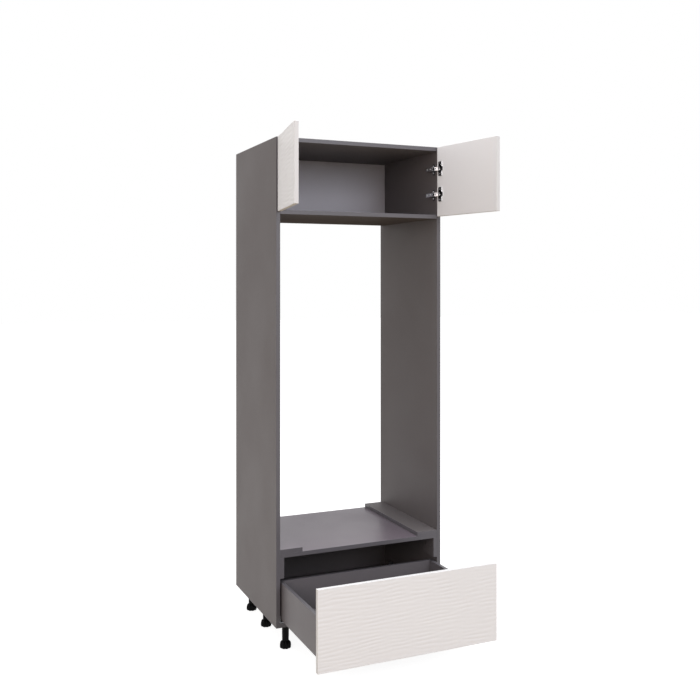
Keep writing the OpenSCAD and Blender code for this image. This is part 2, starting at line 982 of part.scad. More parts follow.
module locking_clips() {
    color(black_plastic)
        for (side = [-1, 1])
            runner_place(side, drawer_out)
                difference() {
                    translate([clip_u, box_y + side_t, box_floor_z - clip_h])
                        union() {
                            cube([clip_lever_w, clip_l, clip_h]);
                            translate([0, 0, clip_h - clip_base_t])
                                cube([clip_w, clip_l, clip_base_t]);
                            translate([clip_w - clip_lever_w, -side_t / 2, clip_h - clip_base_t])
                                cube([clip_lever_w, side_t, clip_base_t]);
                        }
                    at_clip_screws() pan_screw_hole(clip_screw_l);
                }
}

module clip_screws() {
    color(steel)
        for (side = [-1, 1])
            runner_place(side, drawer_out) at_clip_screws() pan_screw(clip_screw_l);
}

// Runners. Each member is a profile drawn with x inwards from the side panel and y up.
module member(low_y, l) {
    translate([0, low_y + l, 0]) rotate([90, 0, 0]) linear_extrude(l) children();
}

module cabinet_rail(side) {
    runner_place(side, 0)
        difference() {
            member(runner_y, runner_l) {
                translate([0, runner_z]) square([runner_sheet, runner_flange_h]);
                translate([0, runner_z]) square([rail_u + rail_w, runner_sheet]);
                for (u = [rail_u, rail_u + rail_w - runner_sheet])
                    translate([u, runner_z]) square([runner_sheet, lip_h]);
            }
            at_runner_screws()
                translate([0, 0, -runner_sheet - cut])
                    cylinder(r = case_screw_r + hole_gap, h = runner_sheet + 2 * cut);
        }
}

module middle_rail(side) {
    low = runner_z + runner_sheet + 2 * roller_r + 2 * fit_gap;
    high = box_floor_z - runner_sheet - 2 * roller_r - 2 * fit_gap;
    left = rail_u + runner_sheet + rail_play;
    w = rail_w - 2 * (runner_sheet + rail_play);
    runner_place(side, middle_out)
        member(runner_y, runner_l) {
            translate([left, low]) square([w, runner_sheet]);
            translate([left, high - runner_sheet]) square([w, runner_sheet]);
            translate([left + (w - web_w) / 2, low]) square([web_w, high - low]);
        }
}

module drawer_rail(side) {
    runner_place(side, drawer_out)
        member(runner_y, drawer_rail_l) {
            translate([rail_u, box_floor_z - runner_sheet]) square([rail_w, runner_sheet]);
            for (u = [rail_u, rail_u + rail_w - runner_sheet])
                translate([u, box_floor_z - lip_h]) square([runner_sheet, lip_h]);
        }
}

module left_cabinet_rail() {
    color(steel) cabinet_rail(-1);
}

module right_cabinet_rail() {
    color(steel) cabinet_rail(1);
}

module left_middle_rail() {
    color(steel) middle_rail(-1);
}

module right_middle_rail() {
    color(steel) middle_rail(1);
}

module left_drawer_rail() {
    color(steel) drawer_rail(-1);
}

module right_drawer_rail() {
    color(steel) drawer_rail(1);
}

// Roller cages between the members, which run at half the speed between them
module roller_cage(z) {
    left = rail_u + runner_sheet + rail_play;
    w = rail_w - 2 * (runner_sheet + rail_play);
    pitch = cage_l / roller_count;
    translate([left, runner_y + (runner_l - cage_l) / 2, z]) {
        translate([0, 0, -cage_t / 2]) cube([w, cage_l, cage_t]);
        for (i = [0 : roller_count - 1])
            translate([0, (i + 0.5) * pitch, 0]) rod_x(roller_r, w);
    }
}

module lower_roller_cages() {
    color(black_plastic)
        for (side = [-1, 1])
            runner_place(side, lower_cage_out)
                roller_cage(runner_z + runner_sheet + roller_r + fit_gap);
}

module upper_roller_cages() {
    color(black_plastic)
        for (side = [-1, 1])
            runner_place(side, upper_cage_out)
                roller_cage(box_floor_z - runner_sheet - roller_r - fit_gap);
}

// Legs: a socket pressed into the bottom panel, a ribbed tube, and a foot on a screw stem
module at_legs() {
    in_place()
        for (x = leg_xs, y = leg_ys)
            translate([x, y, 0]) children();
}

module leg_sockets() {
    color(black_plastic)
        at_legs() {
            translate([0, 0, leg_h]) cylinder(r = plug_r, h = plug_l);
            translate([0, 0, leg_h - socket_h])
                difference() {
                    cylinder(r = leg_r + socket_rim, h = socket_h);
                    translate([0, 0, -cut])
                        cylinder(r = spigot_r + hole_gap, h = spigot_l + fit_gap + cut);
                }
        }
}

module legs() {
    tube_z = foot_h + neck_h;
    ribs = [for (i = [0 : 2 * leg_ribs - 1])
        (leg_r - rib_h * (i % 2)) * [cos(i * 180 / leg_ribs), sin(i * 180 / leg_ribs)]];
    color(black_plastic)
        at_legs()
            difference() {
                union() {
                    translate([0, 0, tube_z])
                        linear_extrude(leg_h - socket_h - tube_z) polygon(ribs);
                    translate([0, 0, leg_h - socket_h]) cylinder(r = spigot_r, h = spigot_l);
                }
                translate([0, 0, tube_z - cut])
                    cylinder(r = stem_r + stem_gap, h = stem_l + fit_gap + cut);
            }
}

// A foot's profile: flat below, a rounded heel and shoulder, the neck and the screw stem
module foot_profile() {
    square([neck_r, foot_h + neck_h]);
    square([stem_r, foot_h + neck_h + stem_l]);
    square([foot_r - foot_heel_r, foot_heel_r]);
    translate([0, foot_heel_r]) square([foot_r, foot_h - foot_heel_r - foot_shoulder_r]);
    translate([0, foot_h - foot_shoulder_r]) square([foot_r - foot_shoulder_r, foot_shoulder_r]);
    translate([foot_r - foot_heel_r, foot_heel_r]) circle(foot_heel_r);
    translate([foot_r - foot_shoulder_r, foot_h - foot_shoulder_r]) circle(foot_shoulder_r);
}

module foot(x, y) {
    color(black_plastic)
        in_place()
            translate([x, y, 0])
                difference() {
                    rotate_extrude() foot_profile();
                    for (i = [0 : foot_lobes - 1])
                        rotate(i * 360 / foot_lobes)
                            translate([foot_r + lobe_cut_r * lobe_cut_share, 0, -cut])
                                cylinder(r = lobe_cut_r, h = foot_h + 2 * cut);
                }
}

module foot_front_left() {
    foot(leg_xs[0], leg_ys[0]);
}

module foot_front_right() {
    foot(leg_xs[1], leg_ys[0]);
}

module foot_middle_left() {
    foot(leg_xs[0], leg_ys[1]);
}

module foot_middle_right() {
    foot(leg_xs[1], leg_ys[1]);
}

module foot_rear_left() {
    foot(leg_xs[0], leg_ys[2]);
}

module foot_rear_right() {
    foot(leg_xs[1], leg_ys[2]);
}

left_side();
right_side();
top_panel();
upper_shelf();
oven_shelf();
bottom_panel();
left_batten();
right_batten();
left_strip();
right_strip();
upper_back();
lower_back();
cam_locks();
cam_bolts();
dowels();
board_screws();
case_screws();
wall_brackets();
left_door();
left_hinge_cups();
left_cup_screws();
left_hinge_pins();
left_long_links();
left_short_links();
right_door();
right_hinge_cups();
right_cup_screws();
right_hinge_pins();
right_long_links();
right_short_links();
hinge_arms();
hinge_arm_pins();
mounting_plates();
plate_screws();
drawer_front();
drawer_left_side();
drawer_right_side();
drawer_box_front();
drawer_back();
drawer_bottom();
drawer_box_screws();
drawer_front_screws();
locking_clips();
clip_screws();
left_drawer_rail();
right_drawer_rail();
left_middle_rail();
right_middle_rail();
left_cabinet_rail();
right_cabinet_rail();
lower_roller_cages();
upper_roller_cages();
leg_sockets();
legs();
foot_front_left();
foot_front_right();
foot_middle_left();
foot_middle_right();
foot_rear_left();
foot_rear_right();
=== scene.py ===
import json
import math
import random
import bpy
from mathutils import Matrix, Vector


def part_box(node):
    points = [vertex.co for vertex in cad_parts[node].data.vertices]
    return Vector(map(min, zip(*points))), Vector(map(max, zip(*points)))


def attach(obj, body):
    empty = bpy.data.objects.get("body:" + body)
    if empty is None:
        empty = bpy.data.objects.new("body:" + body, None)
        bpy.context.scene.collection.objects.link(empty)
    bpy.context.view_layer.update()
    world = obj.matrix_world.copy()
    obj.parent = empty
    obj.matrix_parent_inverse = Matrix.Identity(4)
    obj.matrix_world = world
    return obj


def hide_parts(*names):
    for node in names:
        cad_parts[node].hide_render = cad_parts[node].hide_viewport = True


bl_info = {
    "name": "Oven Housing Looks",
    "version": (1, 1, 0),
    "blender": (4, 5, 0),
    "location": "View3D > Sidebar > Housing",
    "description": "Finishes the boards, fronts, hinges, runners and legs of a tall oven housing",
    "category": "Object",
}

import bpy
from bpy.props import FloatProperty, FloatVectorProperty, IntProperty, PointerProperty
from mathutils import Matrix, Vector, noise

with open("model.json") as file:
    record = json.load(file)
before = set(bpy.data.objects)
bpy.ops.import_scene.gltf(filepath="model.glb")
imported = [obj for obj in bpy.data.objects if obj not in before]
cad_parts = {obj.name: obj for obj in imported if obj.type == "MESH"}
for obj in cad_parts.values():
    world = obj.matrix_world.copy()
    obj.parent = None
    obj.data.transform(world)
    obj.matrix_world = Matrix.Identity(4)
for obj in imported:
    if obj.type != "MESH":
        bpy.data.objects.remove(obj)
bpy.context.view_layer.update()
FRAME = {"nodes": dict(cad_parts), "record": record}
RECORD = FRAME["record"]
BODY = {node: body for body, nodes in RECORD["behaviour"]["bodies"].items() for node in nodes}
SLOT = {part["node"]: part["material_slot"] for part in RECORD["subparts"]}
MM = 0.001

# How the doors stand open: each hinge edge's distance inwards from the side panel's inner face and
# in front of the carcass, as in the part's source
OPEN_ANGLE = math.radians(100)
DOOR_EDGE = (4 * MM, 9 * MM)
REVEAL = 1.5 * MM
BOARD_T = 18 * MM
CUP_INSET = 22.5 * MM
CUP_R = 17.5 * MM
CUP_DEPTH = 13.2 * MM
FLANGE_T = 1.4 * MM

# The beads on the hinge flanges: the straight part's distance from the door's edge, the radius round
# the cup, the width and height, and how far from the hinge's middle the curved and the whole bead reach
BEAD_S = 33.6 * MM
BEAD_R = 18.1 * MM
BEAD_W = 2.6 * MM
BEAD_H = 2.2 * MM
BEAD_FROM = 10 * MM
BEAD_TO = 31 * MM
BEAD_STEPS = 8
BEAD_ROUND = 0.7 * MM

# The screws on the hinge arms: inwards from the side panel, back from its front, and their own sizes
ARM_IN = 24 * MM
ARM_SCREW_YS = (20 * MM, 50 * MM)
SCREW_R = 3.2 * MM
SCREW_H = 1.5 * MM
SCREW_ROUND = 0.45 * MM
RECESS_W = 0.9 * MM
RECESS_L = 1.3 * SCREW_R
RECESS_D = 0.7 * MM

# Boards whose outer edges are rounded, and the directions of those edges
BOARD_EDGES = {
    "left_side": "XYZ", "right_side": "XYZ", "top_panel": "X", "upper_shelf": "X", "oven_shelf": "X",
    "bottom_panel": "X", "left_batten": "XYZ", "right_batten": "XYZ", "left_strip": "XYZ",
    "right_strip": "XYZ", "drawer_left_side": "XYZ", "drawer_right_side": "XYZ",
    "drawer_box_front": "X", "drawer_back": "X",
}
SMOOTH_NODES = {
    "hinges": ("left_hinge_cups", "right_hinge_cups", "hinge_arms", "mounting_plates",
               "left_long_links", "right_long_links", "left_short_links", "right_short_links"),
    "screws": ("left_cup_screws", "right_cup_screws", "plate_screws", "case_screws", "board_screws",
               "left_hinge_pins", "right_hinge_pins", "hinge_arm_pins", "cam_locks",
               "drawer_box_screws", "drawer_front_screws", "clip_screws"),
    "runners": ("left_cabinet_rail", "right_cabinet_rail", "left_middle_rail", "right_middle_rail",
                "left_drawer_rail", "right_drawer_rail", "lower_roller_cages", "upper_roller_cages",
                "locking_clips", "wall_brackets"),
    "legs": ("leg_sockets", "legs"),
}
FEET = [node for node in SLOT if node.startswith("foot_")]

# A foot's turned profile as radius and height, its lobes and the ribs round its neck
FOOT_PROFILE = [(r * MM, z * MM) for r, z in (
    (0, 0), (12, 0), (19, 0), (21.5, 0.7), (23.6, 2.3), (24.7, 4.8), (25, 8), (25, 12), (24.8, 16), (24.1, 20),
    (22.6, 24), (20.2, 27.4), (16.8, 29.4), (13.6, 30.2), (13.2, 31.8), (14.6, 33.4), (14.6, 50.2), (14.1, 50.9),
    (10, 50.9), (8, 50.9), (8, 60))]
FOOT_SIDES = 160
STEM_CHAMFER = 0.8 * MM
LOBES = 8
LOBE_DEPTH = 4.2 * MM
LOBE_FROM_R = 15 * MM
LOBE_FADE = 7.5 * MM
LOBE_TOP = 28.7 * MM
LOBE_POWER = 2.5
NECK_Z = (31.8 * MM, 50.9 * MM)
NECK_CORE_R = 10 * MM
NECK_RIBS = 20
RIB_DEPTH = 0.8 * MM
RIB_STEEPNESS = 1.5

# The fronts' waves are the sum of slanted wave trains. A train's slant is in degrees, its pitch and
# share are factors. A sum of FULL_CREST is a full crest, and a higher CREST_POWER makes the crests wider.
# The waves wander by noise of two scales, each with its width and height, layer and share. WAVE_MESH is
# the mesh's step across and up. The doors' pattern numbers lie one below and one above the drawer
# front's plus DOOR_PATTERN.
TRAINS = 9
TRAIN_SLANT = (-5.5, 5.5)
TRAIN_PITCH = (0.76, 1.24)
TRAIN_SHARE = (0.6, 1.0)
FULL_CREST = 3.4
CREST_POWER = 1.5
WANDER = ((0.17, 0.10, 3.7, 1.0), (0.07, 0.04, 9.1, 0.3))
WAVE_MESH = (4 * MM, 2.2 * MM)
DOOR_PATTERN = 10

# The gloss of a textured face fades between these shares of edge-on view
GLOSS_FADE = (0.84, 0.94)

# The lamps: name, place, side and colour. The camera: place, turn, lens, vertical shift and sensor width.
LAMP_AIM = (0, -0.1, 1.1)
LAMPS = (
    ("key", (1.2, -5.8, 3.1), 2.0, (0.95, 0.99, 1.08)),
    ("fill", (-3.9, -3.9, 2.4), 2.2, (1.0, 0.85, 0.79)),
    ("top", (0.2, -0.3, 5.2), 2.6, (1.0, 1.0, 1.0)),
    ("back", (0, 4.5, 3.5), 2.5, (1.0, 1.0, 1.0)),
)
CAMERA_PLACE = (-1.6418, -3.6705, 1.5871)
CAMERA_TURN = (math.radians(90), 0, -0.4140)
CAMERA_LENS = 45.87
CAMERA_SHIFT = -0.0999
CAMERA_SENSOR = 36.0

# The floor: size, its own glow and colour where it is seen, and the colour of the light it throws back
FLOOR_SIZE = 60
FLOOR_GLOW = 0.90
FLOOR_COLOR = (0.4, 0.4, 0.4, 1)
FLOOR_THROWN = (0.37, 0.305, 0.215, 1)
WHITE = (1, 1, 1, 1)


# ---- Sizes and colours that a user may change ----
class HousingBoards(bpy.types.PropertyGroup):
    carcass_color: FloatVectorProperty(
        name="Carcass", description="Colour of the melamine on the carcass boards",
        subtype="COLOR", size=3, min=0, max=1, default=(0.135, 0.122, 0.125))
    shelf_color: FloatVectorProperty(
        name="Oven shelf", description="Colour of the melamine where the oven stands",
        subtype="COLOR", size=3, min=0, max=1, default=(0.141, 0.115, 0.140))
    # The edge bands' colour is partly their own and partly painted light: the cool light on the front edges is painted
    # in as a bluer tint than the carcass.
    band_color: FloatVectorProperty(
        name="Edge bands", description="Colour of the bands glued on the boards' edges",
        subtype="COLOR", size=3, min=0, max=1, default=(0.107, 0.101, 0.113))
    back_color: FloatVectorProperty(
        name="Backs", description="Colour of the back panels",
        subtype="COLOR", size=3, min=0, max=1, default=(0.620, 0.590, 0.630))
    drawer_color: FloatVectorProperty(
        name="Drawer box", description="Colour of the drawer box's boards",
        subtype="COLOR", size=3, min=0, max=1, default=(0.140, 0.129, 0.138))
    edge_radius: FloatProperty(
        name="Edge radius", description="Rounding of the edge bands",
        unit="LENGTH", min=0.0001, max=0.003, default=0.0008)


class HousingFronts(bpy.types.PropertyGroup):
    color: FloatVectorProperty(
        name="Colour", description="Colour of the doors and the drawer front",
        subtype="COLOR", size=3, min=0, max=1, default=(0.815, 0.812, 0.838))
    edging_color: FloatVectorProperty(
        name="Edging", description="Colour of the bands on the fronts' edges",
        subtype="COLOR", size=3, min=0, max=1, default=(0.715, 0.712, 0.725))
    wave_pitch: FloatProperty(
        name="Wave pitch", description="Distance from one wave to the next",
        unit="LENGTH", min=0.01, max=0.05, default=0.018)
    wave_depth: FloatProperty(
        name="Wave depth", description="Depth of the waves pressed into the outer faces",
        unit="LENGTH", min=0.0002, max=0.002, default=0.0006)
    meander: FloatProperty(
        name="Meander", description="How far a wave wanders up and down on its way across",
        unit="LENGTH", min=0, max=0.03, default=0.009)
    edge_radius: FloatProperty(
        name="Edge radius", description="Rounding of the fronts' edges",
        unit="LENGTH", min=0.0003, max=0.003, default=0.0012)
    seed: IntProperty(
        name="Pattern", description="Which of the possible wave patterns is used", min=0, max=99, default=4)


class HousingFittings(bpy.types.PropertyGroup):
    steel_color: FloatVectorProperty(
        name="Bright steel", description="Colour of the nickel-plated parts",
        subtype="COLOR", size=3, min=0, max=1, default=(0.70, 0.70, 0.71))
    dark_color: FloatVectorProperty(
        name="Dark metal", description="Colour of the black-nickel parts",
        subtype="COLOR", size=3, min=0, max=1, default=(0.030, 0.030, 0.033))
    plastic_color: FloatVectorProperty(
        name="Plastic", description="Colour of the moulded plastic parts",
        subtype="COLOR", size=3, min=0, max=1, default=(0.005, 0.005, 0.0055))
    edge_radius: FloatProperty(
        name="Edge radius", description="Rounding of the sheet metal's edges",
        unit="LENGTH", min=0.00005, max=0.0005, default=0.0002)


class HousingStage(bpy.types.PropertyGroup):
    sky: FloatProperty(
        name="Sky", description="Strength of the even light from all round", min=0, max=2, default=0.68)
    key: FloatProperty(
        name="Key lamp", description="Power of the lamp in front, in watts", min=0, default=86)
    fill: FloatProperty(
        name="Fill lamp", description="Power of the lamp at the front left, in watts", min=0, default=54)
    top: FloatProperty(
        name="Top lamp", description="Power of the lamp overhead, in watts", min=0, default=190)
    back: FloatProperty(
        name="Back lamp", description="Power of the lamp behind, in watts", min=0, default=8)


# ---- Shader parts ----
COLOR, NUMBER, VECTOR = "NodeSocketColor", "NodeSocketFloat", "NodeSocketVector"
SURFACE = [("Color", COLOR), ("Roughness", NUMBER), ("Normal", VECTOR)]


def new_group(name, inputs, outputs):
    """An empty shader group with named sockets: each is (name, kind, default)."""
    group = bpy.data.node_groups.new(name, "ShaderNodeTree")
    for label, kind, default in inputs:
        group.interface.new_socket(label, in_out="INPUT", socket_type=kind).default_value = default
    for label, kind in outputs:
        group.interface.new_socket(label, in_out="OUTPUT", socket_type=kind)
    return group


class Shader:
    """Places nodes in one tree and links them by plain names."""

    def __init__(self, tree):
        self.tree = tree
        self.column = 0

    def node(self, kind, links=None, **values):
        """A new node: its sockets are linked or set by links, its own settings by the other values."""
        made = self.tree.nodes.new(kind)
        self.column += 1
        made.location = (self.column * 180, 0)
        for key, value in values.items():
            setattr(made, key, value)
        for socket, value in (links or {}).items():
            if isinstance(value, bpy.types.NodeSocket):
                self.tree.links.new(value, made.inputs[socket])
            else:
                made.inputs[socket].default_value = value
        return made

    def math(self, operation, first, second=0.0, clamp=False):
        return self.node("ShaderNodeMath", {0: first, 1: second}, operation=operation, use_clamp=clamp).outputs[0]

    def centred(self, value, size):
        """A 0 to 1 value turned to run from -size/2 to size/2."""
        return self.math("MULTIPLY", self.math("SUBTRACT", value, 0.5), size)

    def noise(self, place, scale, detail=2.0, roughness=0.5):
        return self.node("ShaderNodeTexNoise", {
            "Vector": place, "Scale": scale, "Detail": detail, "Roughness": roughness}).outputs["Fac"]

    def stretched(self, place, scale):
        return self.node("ShaderNodeMapping", {"Vector": place, "Scale": scale}).outputs["Vector"]

    def threshold(self, value, low, high):
        """0 below low, 1 above high, and even between."""
        return self.node("ShaderNodeMapRange", {
            "Value": value, "From Min": low, "From Max": high}, clamp=True).outputs["Result"]

    def scaled(self, color, value):
        return self.node("ShaderNodeVectorMath", {0: color, "Scale": value}, operation="SCALE").outputs["Vector"]

    def mix(self, share, first, second):
        made = self.node("ShaderNodeMix", data_type="RGBA")
        for socket, value in ((made.inputs[0], share), (made.inputs[6], first), (made.inputs[7], second)):
            if isinstance(value, bpy.types.NodeSocket):
                self.tree.links.new(value, socket)
            else:
                socket.default_value = value
        return made.outputs[2]

    def bump(self, height, strength, distance):
        """The normal of a relief whose full height is distance, in metres."""
        return self.node("ShaderNodeBump", {
            "Strength": strength, "Distance": distance, "Height": height}).outputs["Normal"]

    def scuffs(self, group, length=None, width=None):
        """The scuff mask of the shared group, with its own lengths where they are given."""
        made = self.node("ShaderNodeGroup")
        made.node_tree = group
        for key, value in (("Length", length), ("Width", width)):
            if value:
                made.inputs[key].default_value = value
        return made.outputs["Mask"]

    def total(self, *values, clamp=False):
        """The sum of several values, of which the last addition may be clamped to 0 to 1."""
        first, *rest = values
        for i, value in enumerate(rest):
            first = self.math("ADD", first, value, clamp=clamp and i == len(rest) - 1)
        return first

    def finish_group(self, color, roughness, normal):
        self.node("NodeGroupOutput", {"Color": color, "Roughness": roughness, "Normal": normal})


def start_group(name, inputs, outputs=SURFACE):
    """A group with its tree's helper, its input sockets and the place on the object."""
    group = new_group(name, inputs, outputs)
    s = Shader(group)
    given = s.node("NodeGroupInput").outputs
    place = s.node("ShaderNodeTexCoord").outputs["Object"]
    return group, s, given, place


def scuff_group():
    """Fine rubbed streaks in two directions, as a mask that other groups use."""
    group, s, given, place = start_group(
        "fine scuffs", [("Length", NUMBER, 14.0), ("Width", NUMBER, 900.0)], [("Mask", NUMBER)])
    masks = []
    for first, second, third in (("Length", "Width", "Width"), ("Width", "Width", "Length")):
        scale = s.node("ShaderNodeCombineXYZ", {0: given[first], 1: given[second], 2: given[third]}).outputs[0]
        masks.append(s.threshold(s.noise(s.stretched(place, scale), 1.0, 1.0), 0.62, 0.75))
    patches = s.threshold(s.noise(place, 9.0, 2.0), 0.5, 0.7)
    both = s.math("MULTIPLY", s.math("MAXIMUM", masks[0], masks[1]), patches)
    s.node("NodeGroupOutput", {"Mask": both})
    return group


def board_group(scuffs):
    """Melamine: pressed pearl texture, faint cloudiness, wiped streaks and a little fine dust."""
    group, s, given, place = start_group("melamine", [
        ("Color", COLOR, (0.5, 0.5, 0.5, 1)), ("Pearl Size", NUMBER, 620.0), ("Cloud", NUMBER, 0.07),
        ("Roughness", NUMBER, 0.46), ("Bump", NUMBER, 0.35), ("Scuffs", NUMBER, 0.5)])
    pearl = s.noise(place, given["Pearl Size"], 3.0, 0.6)
    cloud = s.noise(place, 3.5, 4.0)
    speck = s.threshold(s.noise(place, 2300.0, 0.0), 0.68, 0.8)
    worn = s.math("MULTIPLY", s.scuffs(scuffs), given["Scuffs"])
    lift = s.total(s.centred(cloud, given["Cloud"]), 1.0, s.centred(pearl, 0.16),
                   s.math("MULTIPLY", speck, 0.10), s.math("MULTIPLY", worn, 0.10))
    rough = s.total(given["Roughness"], s.centred(cloud, 0.22), s.centred(pearl, 0.15),
                    s.math("MULTIPLY", worn, 0.14), clamp=True)
    s.finish_group(s.scaled(given["Color"], lift), rough, s.bump(pearl, given["Bump"], 0.00035))
    return group


def band_group():
    """Glued plastic edge band: smoother than the board, with small pale knocks."""
    group, s, given, place = start_group("edge band", [
        ("Color", COLOR, (0.5, 0.5, 0.5, 1)), ("Knocks", NUMBER, 0.5), ("Roughness", NUMBER, 0.38)])
    cloud = s.noise(place, 11.0, 3.0)
    grain = s.noise(place, 1500.0, 1.0)
    knocks = s.math("MULTIPLY", s.threshold(s.noise(place, 95.0, 5.0, 0.7), 0.64, 0.72), given["Knocks"])
    lift = s.total(s.centred(cloud, 0.09), s.centred(grain, 0.05), 1.0, s.math("MULTIPLY", knocks, 0.35))
    color = s.scaled(given["Color"], lift)
    rough = s.total(given["Roughness"], s.centred(cloud, 0.16), s.math("MULTIPLY", knocks, 0.25), clamp=True)
    height = s.math("SUBTRACT", s.math("MULTIPLY", grain, 0.3), knocks)
    s.finish_group(color, rough, s.bump(height, 0.3, 0.00015))
    return group


def chip_group():
    """Raw chipboard in grooves and bores: pressed chips of several browns."""
    group, s, given, place = start_group("chipboard core", [
        ("Color", COLOR, (0.42, 0.28, 0.16, 1)), ("Chip Size", NUMBER, 330.0), ("Roughness", NUMBER, 0.85)])
    cells = s.node("ShaderNodeTexVoronoi", {
        "Vector": s.stretched(place, (0.5, 0.5, 1.6)), "Scale": given["Chip Size"]})
    grey = s.node("ShaderNodeSeparateColor", {0: cells.outputs["Color"]}).outputs[0]
    lift = s.math("ADD", s.math("MULTIPLY", grey, 0.7), 0.55)
    height = s.math("ADD", cells.outputs["Distance"], s.noise(place, 900.0, 3.0))
    rough = s.total(given["Roughness"], s.centred(grey, 0.15), clamp=True)
    s.finish_group(s.scaled(given["Color"], lift), rough, s.bump(height, 0.7, 0.0003))
    return group


def front_group():
    """Satin white foil on the fronts: fine orange peel, faint clouding and handling marks."""
    group, s, given, place = start_group("satin foil", [
        ("Color", COLOR, (0.8, 0.8, 0.8, 1)), ("Peel Size", NUMBER, 420.0), ("Peel", NUMBER, 0.25),
        ("Roughness", NUMBER, 0.36), ("Marks", NUMBER, 0.12)])
    peel = s.noise(place, given["Peel Size"], 2.0)
    grain = s.noise(place, 1900.0, 1.0)
    cloud = s.noise(place, 4.0, 4.0)
    marks = s.threshold(s.noise(place, 16.0, 5.0, 0.62), 0.52, 0.75)
    lift = s.total(s.centred(cloud, 0.035), s.centred(grain, 0.02), 1.0, s.math("MULTIPLY", marks, -0.012))
    rough = s.total(given["Roughness"], s.centred(cloud, 0.12), s.math("MULTIPLY", marks, given["Marks"]), clamp=True)
    height = s.math("ADD", peel, s.math("MULTIPLY", grain, 0.25))
    s.finish_group(s.scaled(given["Color"], lift), rough, s.bump(height, given["Peel"], 0.0001))
    return group


def metal_group(scuffs):
    """Plated sheet steel: rolled streaks, tarnish in patches and fine scratches."""
    group, s, given, place = start_group("plated metal", [
        ("Color", COLOR, (0.7, 0.7, 0.7, 1)), ("Streaks", NUMBER, 0.5), ("Roughness", NUMBER, 0.25),
        ("Scratches", NUMBER, 0.4)])
    rolled = s.noise(s.stretched(place, (300.0, 25.0, 2600.0)), 1.0, 2.0)
    tarnish = s.noise(place, 120.0, 4.0, 0.65)
    scratch = s.math("MULTIPLY", s.scuffs(scuffs, 90.0, 3200.0), given["Scratches"])
    streak = s.centred(rolled, given["Streaks"])
    lift = s.total(s.math("MULTIPLY", streak, 0.25), s.centred(tarnish, 0.22), 1.0)
    rough = s.total(given["Roughness"], s.math("MULTIPLY", streak, 0.22), s.centred(tarnish, 0.16),
                    s.math("MULTIPLY", scratch, 0.25), clamp=True)
    height = s.math("ADD", rolled, s.math("MULTIPLY", scratch, 0.5))
    s.finish_group(s.scaled(given["Color"], lift), rough, s.bump(height, 0.12, 0.00005))
    return group


def plastic_group(scuffs):
    """Moulded plastic: spark-eroded grain, flow clouding, dust and scuffs."""
    group, s, given, place = start_group("moulded plastic", [
        ("Color", COLOR, (0.02, 0.02, 0.02, 1)), ("Grain Size", NUMBER, 1100.0), ("Roughness", NUMBER, 0.34),
        ("Dust", NUMBER, 0.02)])
    grain = s.noise(place, given["Grain Size"], 2.0)
    flow = s.noise(s.stretched(place, (1.0, 1.0, 0.35)), 45.0, 4.0, 0.6)
    dust = s.math("MULTIPLY", s.threshold(s.noise(place, 260.0, 6.0, 0.7), 0.5, 0.8), given["Dust"])
    pale = s.math("ADD", dust, s.math("MULTIPLY", s.scuffs(scuffs, 60.0), 0.008))
    color = s.mix(pale, s.scaled(given["Color"], s.math("ADD", s.centred(flow, 0.5), 1.0)), (0.5, 0.48, 0.45, 1))
    rough = s.total(given["Roughness"], s.centred(flow, 0.2), s.math("MULTIPLY", dust, 4.0), clamp=True)
    s.finish_group(color, rough, s.bump(grain, 0.25, 0.00012))
    return group


def wood_group():
    """Beech: pores and rays drawn out along X, the dowels' direction."""
    group, s, given, place = start_group("turned beech", [
        ("Color", COLOR, (0.6, 0.42, 0.25, 1)), ("Roughness", NUMBER, 0.6)])
    rays = s.noise(s.stretched(place, (60.0, 900.0, 900.0)), 1.0, 3.0)
    rings = s.noise(s.stretched(place, (8.0, 260.0, 260.0)), 1.0, 2.0)
    lift = s.total(s.centred(rays, 0.35), s.centred(rings, 0.3), 1.0)
    rough = s.total(given["Roughness"], s.centred(rays, 0.2), clamp=True)
    s.finish_group(s.scaled(given["Color"], lift), rough, s.bump(rays, 0.4, 0.0002))
    return group


def make_material(name, group, values, metallic, specular):
    """A material whose shader is fed by one surface group. Its gloss fades where it is seen almost edge-on,
    as it does on a textured face."""
    material = bpy.data.materials.new(name)
    material.use_nodes = True
    material.node_tree.nodes.clear()
    s = Shader(material.node_tree)
    surface = s.node("ShaderNodeGroup")
    surface.node_tree = group
    for key, value in values.items():
        surface.inputs[key].default_value = value
    links = {key: surface.outputs[key.split()[-1]] for key in ("Base Color", "Roughness", "Normal")}
    glossy = s.node("ShaderNodeBsdfPrincipled", {**links, "Metallic": metallic, "Specular IOR Level": specular})
    shader = glossy.outputs["BSDF"]
    if not metallic:
        matte = s.node("ShaderNodeBsdfPrincipled", {**links, "Specular IOR Level": 0.0})
        facing = s.node("ShaderNodeLayerWeight", {"Blend": 0.5}).outputs["Facing"]
        shader = s.node("ShaderNodeMixShader", {
            0: s.threshold(facing, *GLOSS_FADE), 1: shader, 2: matte.outputs["BSDF"]}).outputs[0]
    s.node("ShaderNodeOutputMaterial", {"Surface": shader})
    return material


